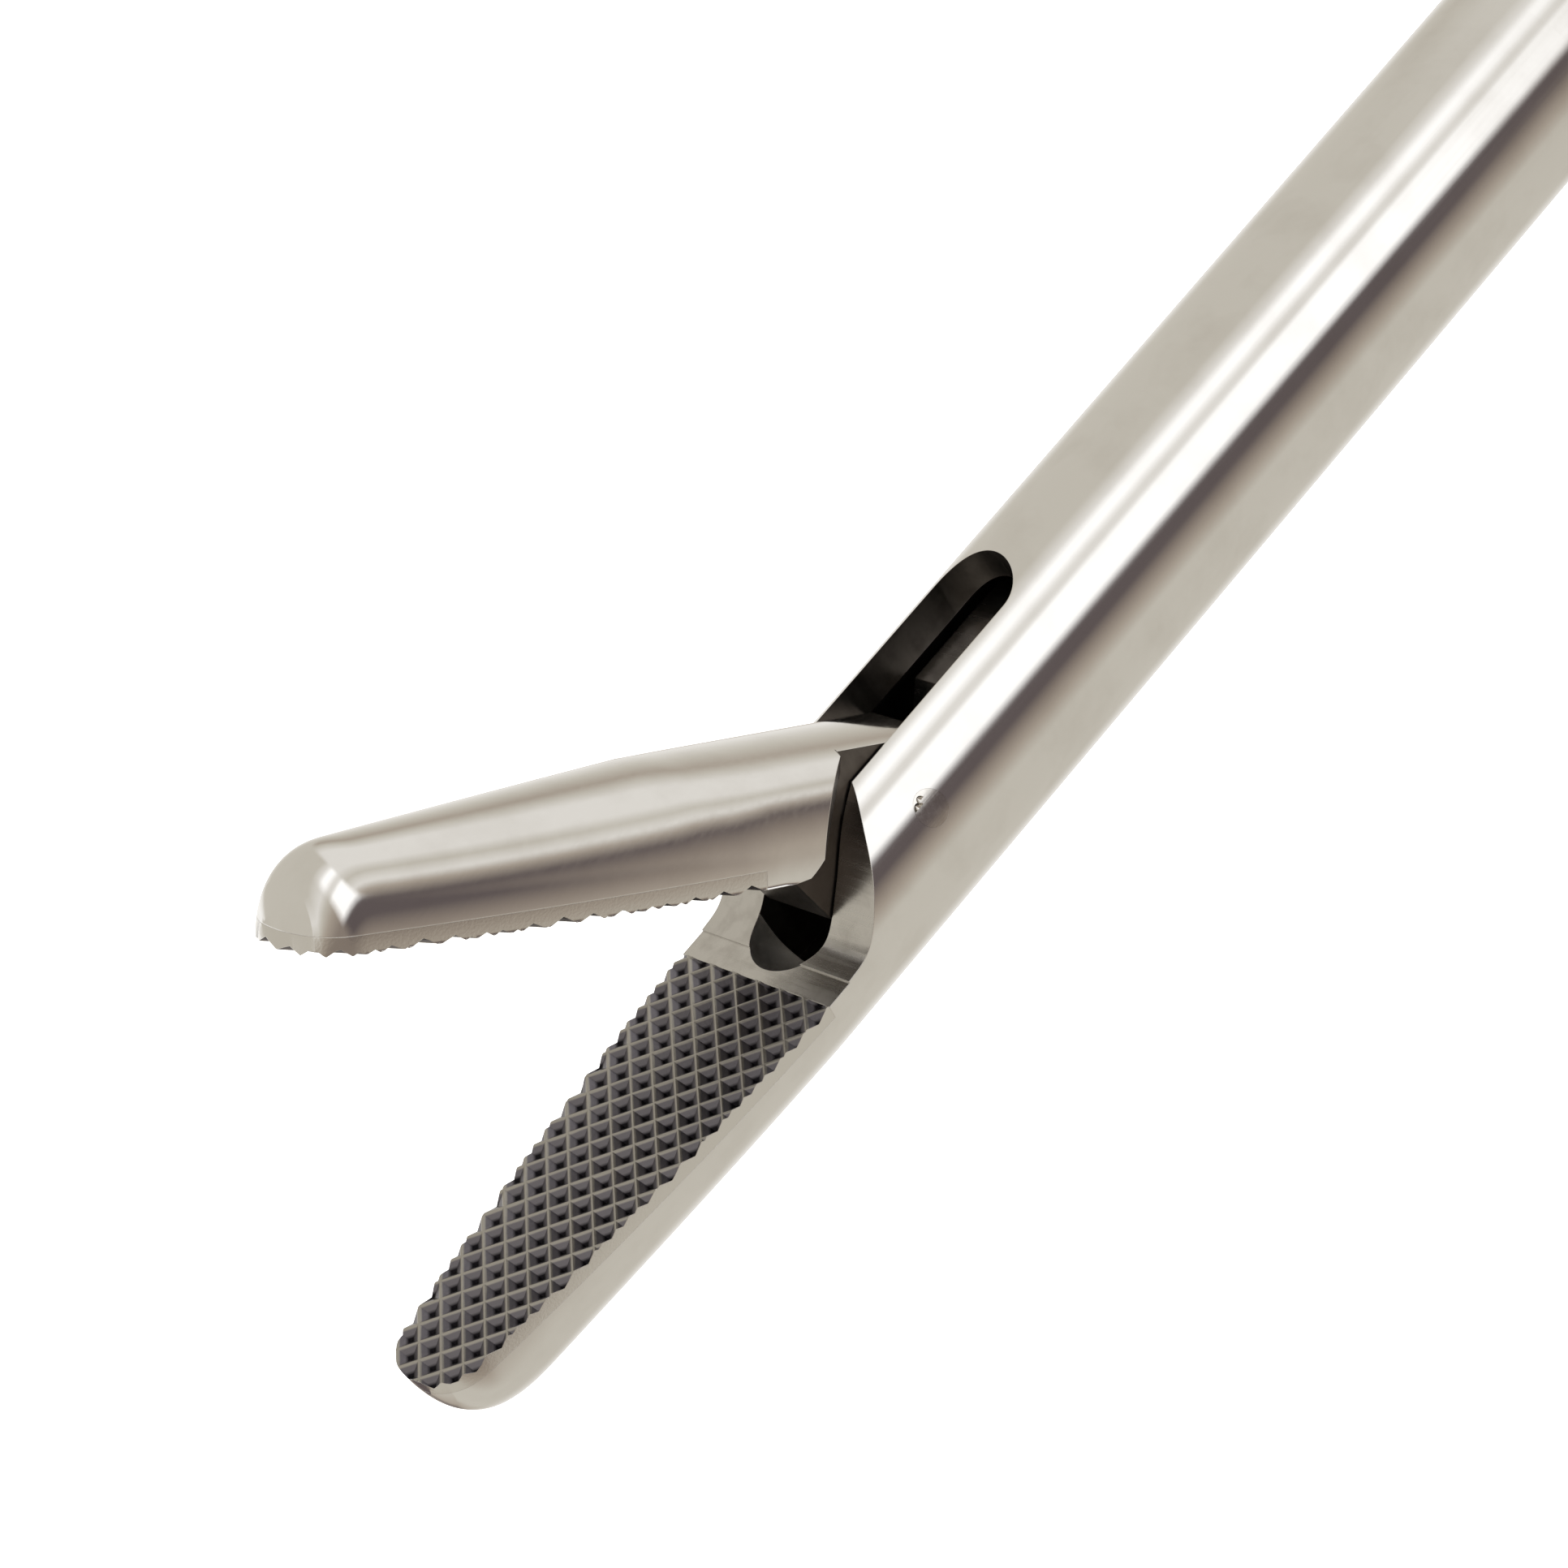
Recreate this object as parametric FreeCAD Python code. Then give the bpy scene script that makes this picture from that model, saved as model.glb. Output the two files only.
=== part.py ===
import FreeCAD, Part
import math
import os

from FreeCAD import Vector

# Laparoscopic needle holder, 5 mm shaft, single-action jaw, in-line squeeze handle with ratchet.
# Frame: +X towards the handle, +Z the side the jaw opens to, origin on the shaft axis at the
# front face of the nose nut. Millimetres and degrees.

# Shaft
working_length = 330.0
shaft_radius = 2.5
tube_wall = 0.5
tube_seat_radius = 2.3      # turned down where the tube enters the handle, so a shoulder sets its depth
seam_bevel = 0.26           # on both pieces where the jaw's neck is brazed into the tube
head_bore_radius = 1.7
head_length = 25.0          # from the cheek corner back to the joint with the tube
spigot_length = 6.0
brazed_gap = 0.005          # pieces brazed, pressed or screwed together
running_gap = 0.03          # pieces that turn or slide on each other
side_gap = 0.05             # beside a blade or bar that slides in a slot

# Fixed jaw. Distances along the jaw are counted from the top corner of the hinge cheeks
jaw_reach = 15.45
gripping_face_z = -0.19
face_root_step = 0.04       # the plain root of the face lies this much under the insert
taper_start = 4.0
taper_step = 0.01           # the tapered part starts this much inside the round shaft
taper_lead = 0.5            # and this far behind its end
oval_excess = 0.001         # every section is at least this much deeper than wide
side_taper = 0.0514         # slope of the jaw's side where the taper starts
side_bow = 0.0057           # and how fast it turns in further on
nose_length = 1.1
nose_power = 2.4
belly_nose_length = 2.45
belly_nose_power = 2.5
slot_width = 2.3
slot_front = 3.67
slot_back = 6.5
slot_floor_z = -1.7
bore_front = 2.3
cheek_end = [(0.40, 2.50), (-0.70, 1.70), (-1.66, 0.71), (-2.50, -0.03), (-3.30, gripping_face_z)]

# Moving jaw, drawn closed and parallel to the fixed one
open_angle = 38.1
face_gap = 0.19             # between the two gripping faces when they lie parallel
tip_gap = 0.03              # left between the noses when the jaw is shut
moving_jaw_reach = 14.65
back_taper_start = 5.5
back_taper = 0.06
back_nose_length = 1.5
heel_gap = 0.45             # along the jaw, between its heel and the cheeks
heel_chamfer_start = 0.85
heel_chamfer_slope = 1.15
tang_width = 2.2
tang_front_foot = (-1.02, -1.46)
tang_front_top_x = -2.60
tang_back_x = 2.0
tang_back_radius = 0.9
tang_back_drop = 1.4        # the straight part of the tang's back ends this far under the pivot
tail_round = 18.0           # degrees of the round foot behind the pivot
tail_front_x = 0.2
hub_radius = 1.12

# Hinge and drive of the moving jaw
pivot_x = 0.68
pivot_z = 1.0
pivot_pin_radius = 0.4
drive_pin_radius = 0.4
drive_pin_z = -0.9
drive_wall = 0.27           # left under the drive hole in the tang
tail_width = 1.0
fork_arm_drop = 0.65        # half height of the fork's arms
fork_gap_depth = 1.9
fork_low_length = 2.6
fork_high_z = 1.0
fork_high_start = 3.7
crosshead_start = 7.5
crosshead_length = 6.5
rod_radius = 1.2
rod_tail_radius = 0.8
rod_tail_length = 4.0

# Gripping inserts
insert_thickness = 0.40
knurl_pitch = 0.525
knurl_angle = 48.0
knurl_depth = 0.16
knurl_half_width = 0.19
knurl_phase = (8.29, 0.64)  # one crossing of two grooves, along and across the face

# Handle
nut_length = 8.0
nut_front_radius = 3.6
nut_band = 2.5              # full width at the nut's rear
nut_flutes = 12
nut_flute_radius = 1.1
barrel_radius = 6.5
barrel_spigot_radius = 4.4
barrel_spigot_length = 4.5
tube_seat_depth = 20.0
seal_length = 3.0
barrel_end = tube_seat_depth + 7.0
hinge_x = tube_seat_depth + 14.0
hub_half_width = 4.6
hub_end = hinge_x + 16.0
hub_top_z = 6.5
hub_rear_z = 4.8
hub_drop = 1.2              # the hub's rear corner under the hinge boss
hub_cone = 10.0             # length over which the hub widens out of the barrel
cheek_thickness = 2.2
cheek_gap = 0.12
lever_arm = 6.0             # hinge axis to rod axis
hinge_radius = 2.0
hinge_boss_radius = 6.2
hinge_head_radius = 3.3
hinge_head_height = 1.2
cross_pin_radius = 1.25
end_block_front = 6.0       # from the cross pin to the block's front face
end_block_back = 3.5
cavity_radius = 3.2
cavity_gap = 0.12
cavity_web = 1.3            # between the seal and the cavity of the end block
cavity_start = tube_seat_depth + seal_length + cavity_web
lock_nut_length = 2.2
lock_nut_width = 5.0
plug_length = 4.0
plug_slot = 0.9
grip_radius = 2.0
round_steps = 2             # flats that take off a grip's long edges
ring_depth = 60.0
port_x = tube_seat_depth - 3.0
port_length = 11.0
port_radius = 2.6
port_bore_radius = 2.1
port_drill_radius = 0.9
port_neck_radius = 2.9
port_flange_radius = 3.8
port_flange = 1.0
port_cone_depth = 7.5
port_taper = 0.03
cap_wall = 1.1
cap_plug_length = 3.0
cap_snug = 0.02
cap_ribs = 12
cap_rib_radius = 0.7
rod_clearance = 0.1
cross_slot_gap = 0.15       # round the cross pin in the hub's slots
lever_bridge_x = hub_end + 6.0  # the lever's two cheeks join here
lever_seat_z = 9.4          # flat under the lever's rear, where the rack is screwed on
rib_pitch = 4.0
rib_half_width = 1.1
rib_depth = 0.45
ribbed_length = 36.0

# Ratchet
rack_radius = 91.0          # hinge axis to the crests of the teeth
rack_depth = 5.0
rack_width = 4.0
tooth_pitch = 2.0
tooth_depth = 1.1
tooth_count = 5
tooth_gap = 0.06            # between the pawl's nose and the tooth it holds, with the jaws shut
foot_length = 20.0
foot_behind = 8.0           # reach of the rack's foot behind the teeth
foot_edge = 3.2
foot_thickness = 2.4
foot_width = 8.0
rack_slot_room = 2.0
rack_screw_depth = 4.5
screw_radius = 1.0
screw_head_radius = 1.7
screw_head_height = 1.0
pawl_angle = -7.3           # of the pawl's nose, seen from the lever hinge
pawl_gap = 0.12             # nose to tooth crests while the pawl rides over them
tooth_undercut = 9.0        # degrees, so that a loaded tooth draws the pawl in
pawl_pivot_back = 1.0
pawl_pivot_drop = 8.0
pawl_pin_radius = 1.1
pawl_width = 4.0
pawl_slot_width = 4.6
pawl_nose_depth = 1.6
pawl_nose_slope = 46.0      # of the nose's back, so that it clears the next tooth when dropped
pawl_boss_radius = 2.2
pawl_tail = 7.0             # past the handle's end
pawl_pad_half = 4.5
pawl_pad_height = 2.2
spring_floor_drop = 3.9
spring_place = 8.0          # behind the pawl's pivot
spring_height = 3.2
spring_wire_radius = 0.25
spring_coil_radius = 1.4
spring_turns = 3.0

# Opening spring between the handles
leaf_thickness = 0.8
leaf_width = 8.0
leaf_seat_z = -12.6
leaf_foot_x = hub_end + 10.0
leaf_foot_half = 7.0
leaf_tip_room = 12.2        # from the start of the curled tip to the rack's foot
leaf_tip_z = 9.9
leaf_screw_depth = 3.2

# Grip outlines from the hub to the rear in side view, each an arc through three points
handle_end = hinge_x + rack_radius + 15.0
grip_middle = (hinge_x + handle_end) / 2
grip_top = [(hinge_x + 12.0, -7.5), (grip_middle + 7.0, -17.0), (handle_end - 3.0, -22.0)]
grip_bottom = [(hinge_x + 2.0, -13.4), (grip_middle + 1.0, -22.3), (handle_end - 6.0, -33.0)]
lever_top = [(hinge_x - 2.0, 11.0), (grip_middle - 2.0, 18.5), (handle_end - 5.0, 13.5)]
lever_bottom = [(hub_end + 2.0, 7.2), (grip_middle - 5.0, 11.2), (hinge_x + rack_radius - 15.0, lever_seat_z)]
grip_low_z = grip_bottom[-1][1] - 5.0

tube_bore_radius = shaft_radius - tube_wall
jaw_datum = jaw_reach - working_length
moment_arm = pivot_z - drive_pin_z
toe_in = math.degrees(math.atan((face_gap - tip_gap) / (moving_jaw_reach + pivot_x)))
jaw_travel = open_angle + toe_in
rod_travel = moment_arm * math.radians(jaw_travel)
lever_travel = math.degrees(rod_travel / lever_arm)
hinge_z = -lever_arm
half_width = hub_half_width + cheek_gap + cheek_thickness
drive_pin_x = pivot_x - rod_travel / 2
cross_pin_x = hinge_x - lever_arm * math.sin(math.radians(lever_travel / 2))
cross_pin_z = hinge_z + lever_arm * math.cos(math.radians(lever_travel / 2))


# Small shape helpers
def box(x0, x1, y0, y1, z0, z1):
    return Part.makeBox(x1 - x0, y1 - y0, z1 - z0, Vector(x0, y0, z0))


def along_x(radius, x0, x1, z=0.0):
    return Part.makeCylinder(radius, x1 - x0, Vector(x0, 0, z), Vector(1, 0, 0))


def along_y(radius, half, x, z):
    return Part.makeCylinder(radius, 2 * half, Vector(x, -half, z), Vector(0, 1, 0))


def along_z(radius, z0, z1, x, y=0.0):
    return Part.makeCylinder(radius, z1 - z0, Vector(x, y, z0), Vector(0, 0, 1))


def turned(profile):
    """a solid of revolution about the shaft axis from (x, radius) points"""
    points = [Vector(x, 0, r) for x, r in profile]
    face = Part.Face(Part.makePolygon(points + points[:1]))
    return face.revolve(Vector(0, 0, 0), Vector(1, 0, 0), 360)


def line(a, b):
    return Part.LineSegment(Vector(a[0], 0, a[1]), Vector(b[0], 0, b[1])).toShape()


def arc(a, middle, b):
    points = [Vector(p[0], 0, p[1]) for p in (a, middle, b)]
    return Part.Arc(*points).toShape()


def curve(points):
    smooth = Part.BSplineCurve()
    smooth.interpolate([Vector(x, 0, z) for x, z in points])
    return smooth.toShape()


def plate(edges, y0, y1):
    """a side outline, drawn in the XZ plane, made y0 to y1 thick"""
    face = Part.Face(Part.Wire(edges))
    face.translate(Vector(0, y0, 0))
    return face.extrude(Vector(0, y1 - y0, 0))


def chain(points):
    return [line(a, b) for a, b in zip(points, points[1:])]


def polygon_plate(points, y0, y1):
    return plate(chain(points + points[:1]), y0, y1)


def turned_about_y(shape, degrees, x, z):
    moved = shape.copy()
    moved.rotate(Vector(x, 0, z), Vector(0, 1, 0), degrees)
    return moved


def to_jaw_end(shape):
    moved = shape.copy()
    moved.translate(Vector(jaw_datum, 0, 0))
    return moved


# Jaws, drawn about the cheek corner with the nose towards -X
def nose_factor(d, reach, length, power):
    u = max(0.0, (d - (reach - length)) / length)
    return max(0.0, 1.0 - u ** power) ** (1.0 / power)


def side_at(d, reach):
    run = max(0.0, d - taper_start)
    side = shaft_radius - side_taper * run - side_bow * run * run
    return side * nose_factor(d, reach, nose_length, nose_power)


def belly_at(d):
    return shaft_radius * nose_factor(d, jaw_reach, belly_nose_length, belly_nose_power)


def back_at(d):
    height = shaft_radius - back_taper * max(0.0, d - back_taper_start)
    return height * nose_factor(d, moving_jaw_reach, back_nose_length, nose_power)


def jaw_form(reach, depth_at):
    """the jaw as one tapered bar of elliptical sections"""
    run = reach - nose_length - taper_start
    stations = [taper_start - taper_lead] + [taper_start + run * k / 5 for k in range(6)]
    stations += [reach - nose_length * step for step in (0.62, 0.34, 0.14, 0.03)]
    sections = []
    for d in stations:
        side = side_at(d, reach) - taper_step
        depth = max(depth_at(d) - taper_step / 2, side + oval_excess)
        oval = Part.Ellipse(Vector(-d, 0, depth), Vector(-d, side, 0), Vector(-d, 0, 0))
        sections.append(Part.Wire(oval.toShape()))
    return Part.makeLoft(sections, True, False)


def cheek_curve(shift):
    """outline of the cheek's sloped end, moved along the jaw by shift"""
    return curve([(x + shift, z) for x, z in cheek_end])


def slot_tool(width, floor_z):
    half = width / 2
    front = half - slot_front
    back = slot_back - half
    middle = box(front, back, -half, half, floor_z, 2 * shaft_radius)
    ends = [along_z(half, floor_z, 2 * shaft_radius, x) for x in (front, back)]
    return middle.fuse(ends)


def fixed_jaw():
    body = along_x(shaft_radius, -taper_start, head_length)
    body = body.fuse(jaw_form(jaw_reach, belly_at))
    top = 2 * shaft_radius
    far = -jaw_reach - 1.0
    corner = cheek_end[0]
    root = cheek_end[-1]
    above = [cheek_curve(0.0)] + chain([root, (far, root[1]), (far, top), (corner[0], top), corner])
    above = plate(above, -top, top)
    body = body.cut(above)
    seat = gripping_face_z - insert_thickness
    body = body.cut(box(far, -taper_start, -top, top, seat, top))
    step = gripping_face_z - face_root_step
    body = body.cut(box(-taper_start, root[0], -top, top, step, gripping_face_z + 0.01))
    body = body.cut(slot_tool(slot_width, slot_floor_z))
    body = body.cut(along_x(head_bore_radius, bore_front, head_length + 1.0))
    body = body.cut(along_y(pivot_pin_radius + brazed_gap, top, pivot_x, pivot_z))
    body = body.cut(turned([(head_length - seam_bevel, shaft_radius), (head_length, shaft_radius - seam_bevel),
                            (head_length, top), (head_length - seam_bevel, top)]))
    spigot = along_x(tube_bore_radius - brazed_gap, head_length, head_length + spigot_length)
    spigot = spigot.cut(along_x(head_bore_radius, head_length - 1.0, head_length + spigot_length + 1.0))
    return body.fuse(spigot).removeSplitter()


def groove_comb(reach, side):
    """parallel V grooves across a gripping face lying at z = 0, open towards +Z"""
    angle = math.radians(side * knurl_angle)
    run = Vector(-math.cos(angle), math.sin(angle), 0)
    across = Vector(math.sin(angle), math.cos(angle), 0)
    centre = Vector(-knurl_phase[0], knurl_phase[1], 0)
    grooves = []
    count = int(reach / knurl_pitch)
    for k in range(-count // 2 - 2, count // 2 + 3):
        middle = centre + across * (k * knurl_pitch)
        start = middle - run * reach
        lift = Vector(0, 0, knurl_depth)
        wide = across * (2 * knurl_half_width)
        corners = [start - lift, start + lift + wide, start + lift - wide]
        face = Part.Face(Part.makePolygon(corners + corners[:1]))
        grooves.append(face.extrude(run * (2 * reach)))
    return Part.makeCompound(grooves)


def insert(form, reach, face_z, up):
    """a hard plate of the jaw's own outline, its face at face_z, knurled in diamonds"""
    top = 2 * shaft_radius
    z0, z1 = (face_z - insert_thickness, face_z) if up else (face_z, face_z + insert_thickness)
    blank = form.common(box(-reach - 1.0, -taper_start, -top, top, z0, z1))
    for side in (1, -1):
        comb = groove_comb(reach, side)
        if not up:
            comb.rotate(Vector(0, 0, 0), Vector(1, 0, 0), 180)
        comb.translate(Vector(0, 0, face_z))
        blank = blank.cut(comb)
    return blank


def about_pivot(radius, degrees):
    """a point under the pivot, turned towards the rear by degrees"""
    angle = math.radians(degrees)
    return (pivot_x + radius * math.sin(angle), pivot_z - radius * math.cos(angle))


def moving_jaw_wide(bar, face_z):
    """the jaw proper: in front of its heel and above its gripping face"""
    top = 2 * shaft_radius
    front = -moving_jaw_reach - 1.0
    heel = [(x - heel_gap, z) for x, z in cheek_end]
    foot_x = heel[-1][0]
    keep = [cheek_curve(-heel_gap)]
    keep += chain([heel[-1], (foot_x, face_z), (front, face_z), (front, top), (heel[0][0], top), heel[0]])
    wide = bar.common(plate(keep, -top, top)).common(box(front, 0.0, -top, top, face_z, top))
    run = 2 * top
    for side in (1, -1):
        inner = Vector(-heel_chamfer_start, side * tang_width / 2, -top)
        outer = inner + Vector(0, side * run, 0)
        corners = [inner, outer - Vector(heel_chamfer_slope * run, 0, 0), outer]
        wedge = Part.Face(Part.makePolygon(corners + corners[:1])).extrude(Vector(0, 0, 2 * top))
        wide = wide.cut(wedge)
    return wide


def moving_jaw_tang(face_z):
    """the narrow blade from the heel back over the pivot"""
    half = tang_width / 2
    top = 2 * shaft_radius
    sweep = moment_arm + drive_pin_radius + running_gap + drive_wall
    low, middle, behind = [about_pivot(sweep, tail_round * k / 2) for k in range(3)]
    r = tang_back_radius
    bend = r * (1 - math.sqrt(0.5))
    back_top = (tang_back_x, shaft_radius - r)
    rounded = (tang_back_x - r, shaft_radius)
    front_top = (tang_front_top_x, shaft_radius)
    front_low = (tang_front_top_x, face_z)
    outline = chain([front_low, tang_front_foot, low]) + [arc(low, middle, behind)]
    outline += chain([behind, (tang_back_x, pivot_z - tang_back_drop), back_top])
    outline += [arc(back_top, (tang_back_x - bend, shaft_radius - bend), rounded)]
    outline += chain([rounded, front_top, front_low])
    tang = plate(outline, -half, half)
    tang = tang.common(along_x(shaft_radius, -taper_start, tang_back_x + 1.0))
    # Both sides of the tail are thinned where the fork of the pull rod passes
    hub_low = pivot_z - hub_radius
    relief = [(tail_front_x, -top), (tail_front_x, hub_low), (pivot_x, hub_low), (pivot_x, pivot_z),
              (top, pivot_z), (top, -top)]
    for y0, y1 in ((tail_width / 2, top), (-top, -tail_width / 2)):
        tang = tang.cut(polygon_plate(relief, y0, y1).cut(along_y(hub_radius, top + 1.0, pivot_x, pivot_z)))
    return tang


def moving_jaw_closed():
    face_z = gripping_face_z + face_gap
    top = 2 * shaft_radius
    bar = along_x(shaft_radius, -taper_start, tang_back_x).fuse(jaw_form(moving_jaw_reach, back_at))
    jaw = moving_jaw_wide(bar, face_z).fuse(moving_jaw_tang(face_z))
    jaw = jaw.cut(along_y(pivot_pin_radius + running_gap, top, pivot_x, pivot_z))
    jaw = jaw.cut(drive_hole(top))
    front = -moving_jaw_reach - 1.0
    jaw = jaw.cut(box(front, -taper_start, -top, top, face_z - 1.0, face_z + insert_thickness))
    return jaw.removeSplitter()


def drive_hole(half):
    """the path of the drive pin in the tang, as the rod runs straight and the jaw swings"""
    reach = drive_pin_radius + running_gap
    path = []
    steps = 6
    for k in range(steps + 1):
        swing = math.radians(jaw_travel) * k / steps
        u = rod_travel / 2 - moment_arm * swing
        x = u * math.cos(swing) + moment_arm * math.sin(swing)
        z = u * math.sin(swing) - moment_arm * math.cos(swing)
        path.append((pivot_x + x, pivot_z + z))
    hole = along_y(reach, half, *path[0])
    return hole.fuse([along_y(reach, half, x, z) for x, z in path[1:]])


def opened(shape):
    return turned_about_y(shape, open_angle, pivot_x, pivot_z)


def moving_jaw():
    return opened(moving_jaw_closed())


def lower_jaw_insert():
    return insert(jaw_form(jaw_reach, belly_at), jaw_reach, gripping_face_z, True)


def upper_jaw_insert():
    form = jaw_form(moving_jaw_reach, back_at)
    return opened(insert(form, moving_jaw_reach, gripping_face_z + face_gap, False))


def jaw_pivot_pin():
    pin = along_y(pivot_pin_radius, shaft_radius, pivot_x, pivot_z)
    return pin.common(along_x(shaft_radius, -1.0, 3.0))


def jaw_drive_pin():
    return along_y(drive_pin_radius, tang_width / 2, drive_pin_x, drive_pin_z)


def rod_fork():
    low = drive_pin_z - fork_arm_drop
    high = drive_pin_z + fork_arm_drop
    x = drive_pin_x
    half = tang_width / 2
    bar_end = x + crosshead_start + 0.5
    outline = [arc((x, low), (x - fork_arm_drop, drive_pin_z), (x, high))]
    outline += chain([(x, high), (x + fork_low_length, high), (x + fork_high_start, fork_high_z),
                      (bar_end, fork_high_z), (bar_end, low), (x, low)])
    end = x + crosshead_start + crosshead_length
    inside = head_bore_radius - side_gap
    bar = plate(outline, -half, half).common(along_x(inside, x - 1.0, end))
    gap = tail_width / 2 + side_gap
    bar = bar.cut(box(x - 1.0, x + fork_gap_depth, -gap, gap, -shaft_radius, shaft_radius))
    fork = bar.fuse(along_x(inside, x + crosshead_start, end))
    fork = fork.cut(along_y(drive_pin_radius + brazed_gap, half + 1.0, x, drive_pin_z))
    fork = fork.cut(along_x(rod_tail_radius + brazed_gap, end - rod_tail_length, end + 1.0))
    return fork.removeSplitter()


def jaw_end_to_rod_x():
    """where the pull rod proper starts, behind the crosshead"""
    return jaw_datum + drive_pin_x + crosshead_start + crosshead_length


# Shaft and handle, drawn in the part's own frame
def shaft_tube():
    start = jaw_datum + head_length
    bore = tube_bore_radius
    tube = turned([(start, bore), (start, shaft_radius - seam_bevel), (start + seam_bevel, shaft_radius),
                   (-running_gap, shaft_radius), (-running_gap, tube_seat_radius),
                   (tube_seat_depth, tube_seat_radius), (tube_seat_depth, bore)])
    return tube.cut(along_z(port_drill_radius, -shaft_radius - 1.0, 0.0, port_x))


def rod_end_x():
    return cross_pin_x - cross_pin_radius - 0.4


def pull_rod():
    start = jaw_end_to_rod_x()
    rod = along_x(rod_radius, start, rod_end_x())
    tail = along_x(rod_tail_radius, start - rod_tail_length, start)
    return rod.fuse(tail).removeSplitter()


def nose_nut():
    snug = barrel_spigot_radius + brazed_gap
    bore = tube_seat_radius + running_gap
    step = nut_length - barrel_spigot_length
    nut = turned([(0, bore), (0, nut_front_radius), (nut_length - nut_band, barrel_radius),
                  (nut_length, barrel_radius), (nut_length, snug), (step, snug), (step, bore)])
    out = barrel_radius + nut_flute_radius / 2
    for k in range(nut_flutes):
        angle = 2 * math.pi * k / nut_flutes
        centre = Vector(nut_length - nut_band - 1.0, out * math.cos(angle), out * math.sin(angle))
        nut = nut.cut(Part.makeCylinder(nut_flute_radius, nut_band + 2.0, centre, Vector(1, 0, 0)))
    return nut


def rod_seal():
    seal = along_x(tube_seat_radius, tube_seat_depth, tube_seat_depth + seal_length)
    return seal.cut(along_x(rod_radius + running_gap, tube_seat_depth - 1.0, tube_seat_depth + seal_length + 1.0))


def rod_end_block():
    x = cross_pin_x
    block = along_x(cavity_radius - cavity_gap, x - end_block_front, x + end_block_back)
    block = block.cut(along_x(rod_radius + brazed_gap, x - end_block_front - 1.0, rod_end_x()))
    # The cross pin swings on an arc, so its hole is a little taller than the pin
    rise = lever_arm - lever_arm * math.cos(math.radians(lever_travel / 2))
    reach = cross_pin_radius + running_gap
    low = cross_pin_z - rise / 2
    high = cross_pin_z + rise * 1.5
    hole = along_y(reach, cavity_radius, x, low).fuse(along_y(reach, cavity_radius, x, high))
    hole = hole.fuse(box(x - reach, x + reach, -cavity_radius, cavity_radius, low, high))
    return block.cut(hole)


def rod_lock_nut():
    start = cross_pin_x - end_block_front - lock_nut_length
    corner = lock_nut_width / math.sqrt(3)
    angles = [k * math.pi / 3 for k in range(6)]
    points = [Vector(start, corner * math.cos(angle), corner * math.sin(angle)) for angle in angles]
    nut = Part.Face(Part.makePolygon(points + points[:1])).extrude(Vector(lock_nut_length, 0, 0))
    return nut.cut(along_x(rod_radius + brazed_gap, start - 1.0, start + lock_nut_length + 1.0))


def bore_plug():
    plug = along_x(cavity_radius - brazed_gap, hub_end - plug_length, hub_end)
    slot = box(hub_end - plug_slot, hub_end + 1.0, -cavity_radius, cavity_radius, -plug_slot / 2, plug_slot / 2)
    return plug.cut(slot)


# Flushing port under the barrel
def turned_down(profile):
    """a solid of revolution about the port's axis from (radius, height) points"""
    points = [Vector(port_x + r, 0, z) for r, z in profile]
    face = Part.Face(Part.makePolygon(points + points[:1]))
    return face.revolve(Vector(port_x, 0, 0), Vector(0, 0, 1), 360)


def port_mouth_z():
    return -barrel_radius - port_length


def flush_port():
    mouth = port_mouth_z()
    seat = -shaft_radius - 1.0
    collar = -barrel_radius - 1.2
    cone_end = mouth + port_cone_depth
    cone_radius = port_bore_radius - port_taper * port_cone_depth
    outside = [(port_drill_radius, seat), (port_radius, seat), (port_radius, -barrel_radius),
               (port_radius + 1.0, -barrel_radius), (port_radius + 1.0, collar), (port_neck_radius, collar - 1.2),
               (port_neck_radius, mouth + port_flange + 0.4), (port_flange_radius, mouth + port_flange),
               (port_flange_radius, mouth)]
    inside = [(port_bore_radius, mouth), (cone_radius, cone_end), (port_drill_radius, cone_end)]
    return turned_down(outside + inside)


def flush_port_cap():
    mouth = port_mouth_z()
    lip = mouth + port_flange + 0.6
    outer = port_flange_radius + cap_wall
    floor = mouth - cap_wall
    neck = port_neck_radius + cap_snug
    plug = port_bore_radius - port_taper * cap_plug_length - cap_snug
    outside = [(0, floor), (outer - 0.6, floor), (outer, floor + 0.6), (outer, lip + cap_wall)]
    inside = [(neck, lip + cap_wall), (neck, lip), (port_flange_radius + cap_snug, lip - 0.4),
              (port_flange_radius + cap_snug, mouth - cap_snug), (plug, mouth - cap_snug),
              (plug, mouth + cap_plug_length), (0, mouth + cap_plug_length)]
    cap = turned_down(outside + inside)
    out = outer + cap_rib_radius / 2
    for k in range(cap_ribs):
        angle = 2 * math.pi * k / cap_ribs
        x = port_x + out * math.cos(angle)
        cap = cap.cut(along_z(cap_rib_radius, floor - 1.0, lip - 0.2, x, out * math.sin(angle)))
    return cap


# Fixed handle: barrel, hub with the lever hinge, and the lower grip
def rounded_ring(points, side):
    """a ring about the centre of an outline's arc, its corners on that arc taken off in steps.
    side is 1 where the handle lies inside the arc and -1 where it lies outside"""
    outline = Part.ArcOfCircle(*[Vector(x, 0, z) for x, z in points])
    centre, edge = outline.Center, outline.Radius
    corner = []
    for k in range(round_steps + 1):
        angle = math.pi / 2 * k / round_steps
        inset = grip_radius * (1 - math.sin(angle))
        corner.append((edge - side * inset, half_width - grip_radius * (1 - math.cos(angle))))
    section = [(edge - side * ring_depth, half_width)] + corner
    section += [(r, -y) for r, y in reversed(section)]
    points = [Vector(centre.x + r, y, centre.z) for r, y in section]
    face = Part.Face(Part.makePolygon(points + points[:1]))
    return face.revolve(centre, Vector(0, 1, 0), 360)


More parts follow.
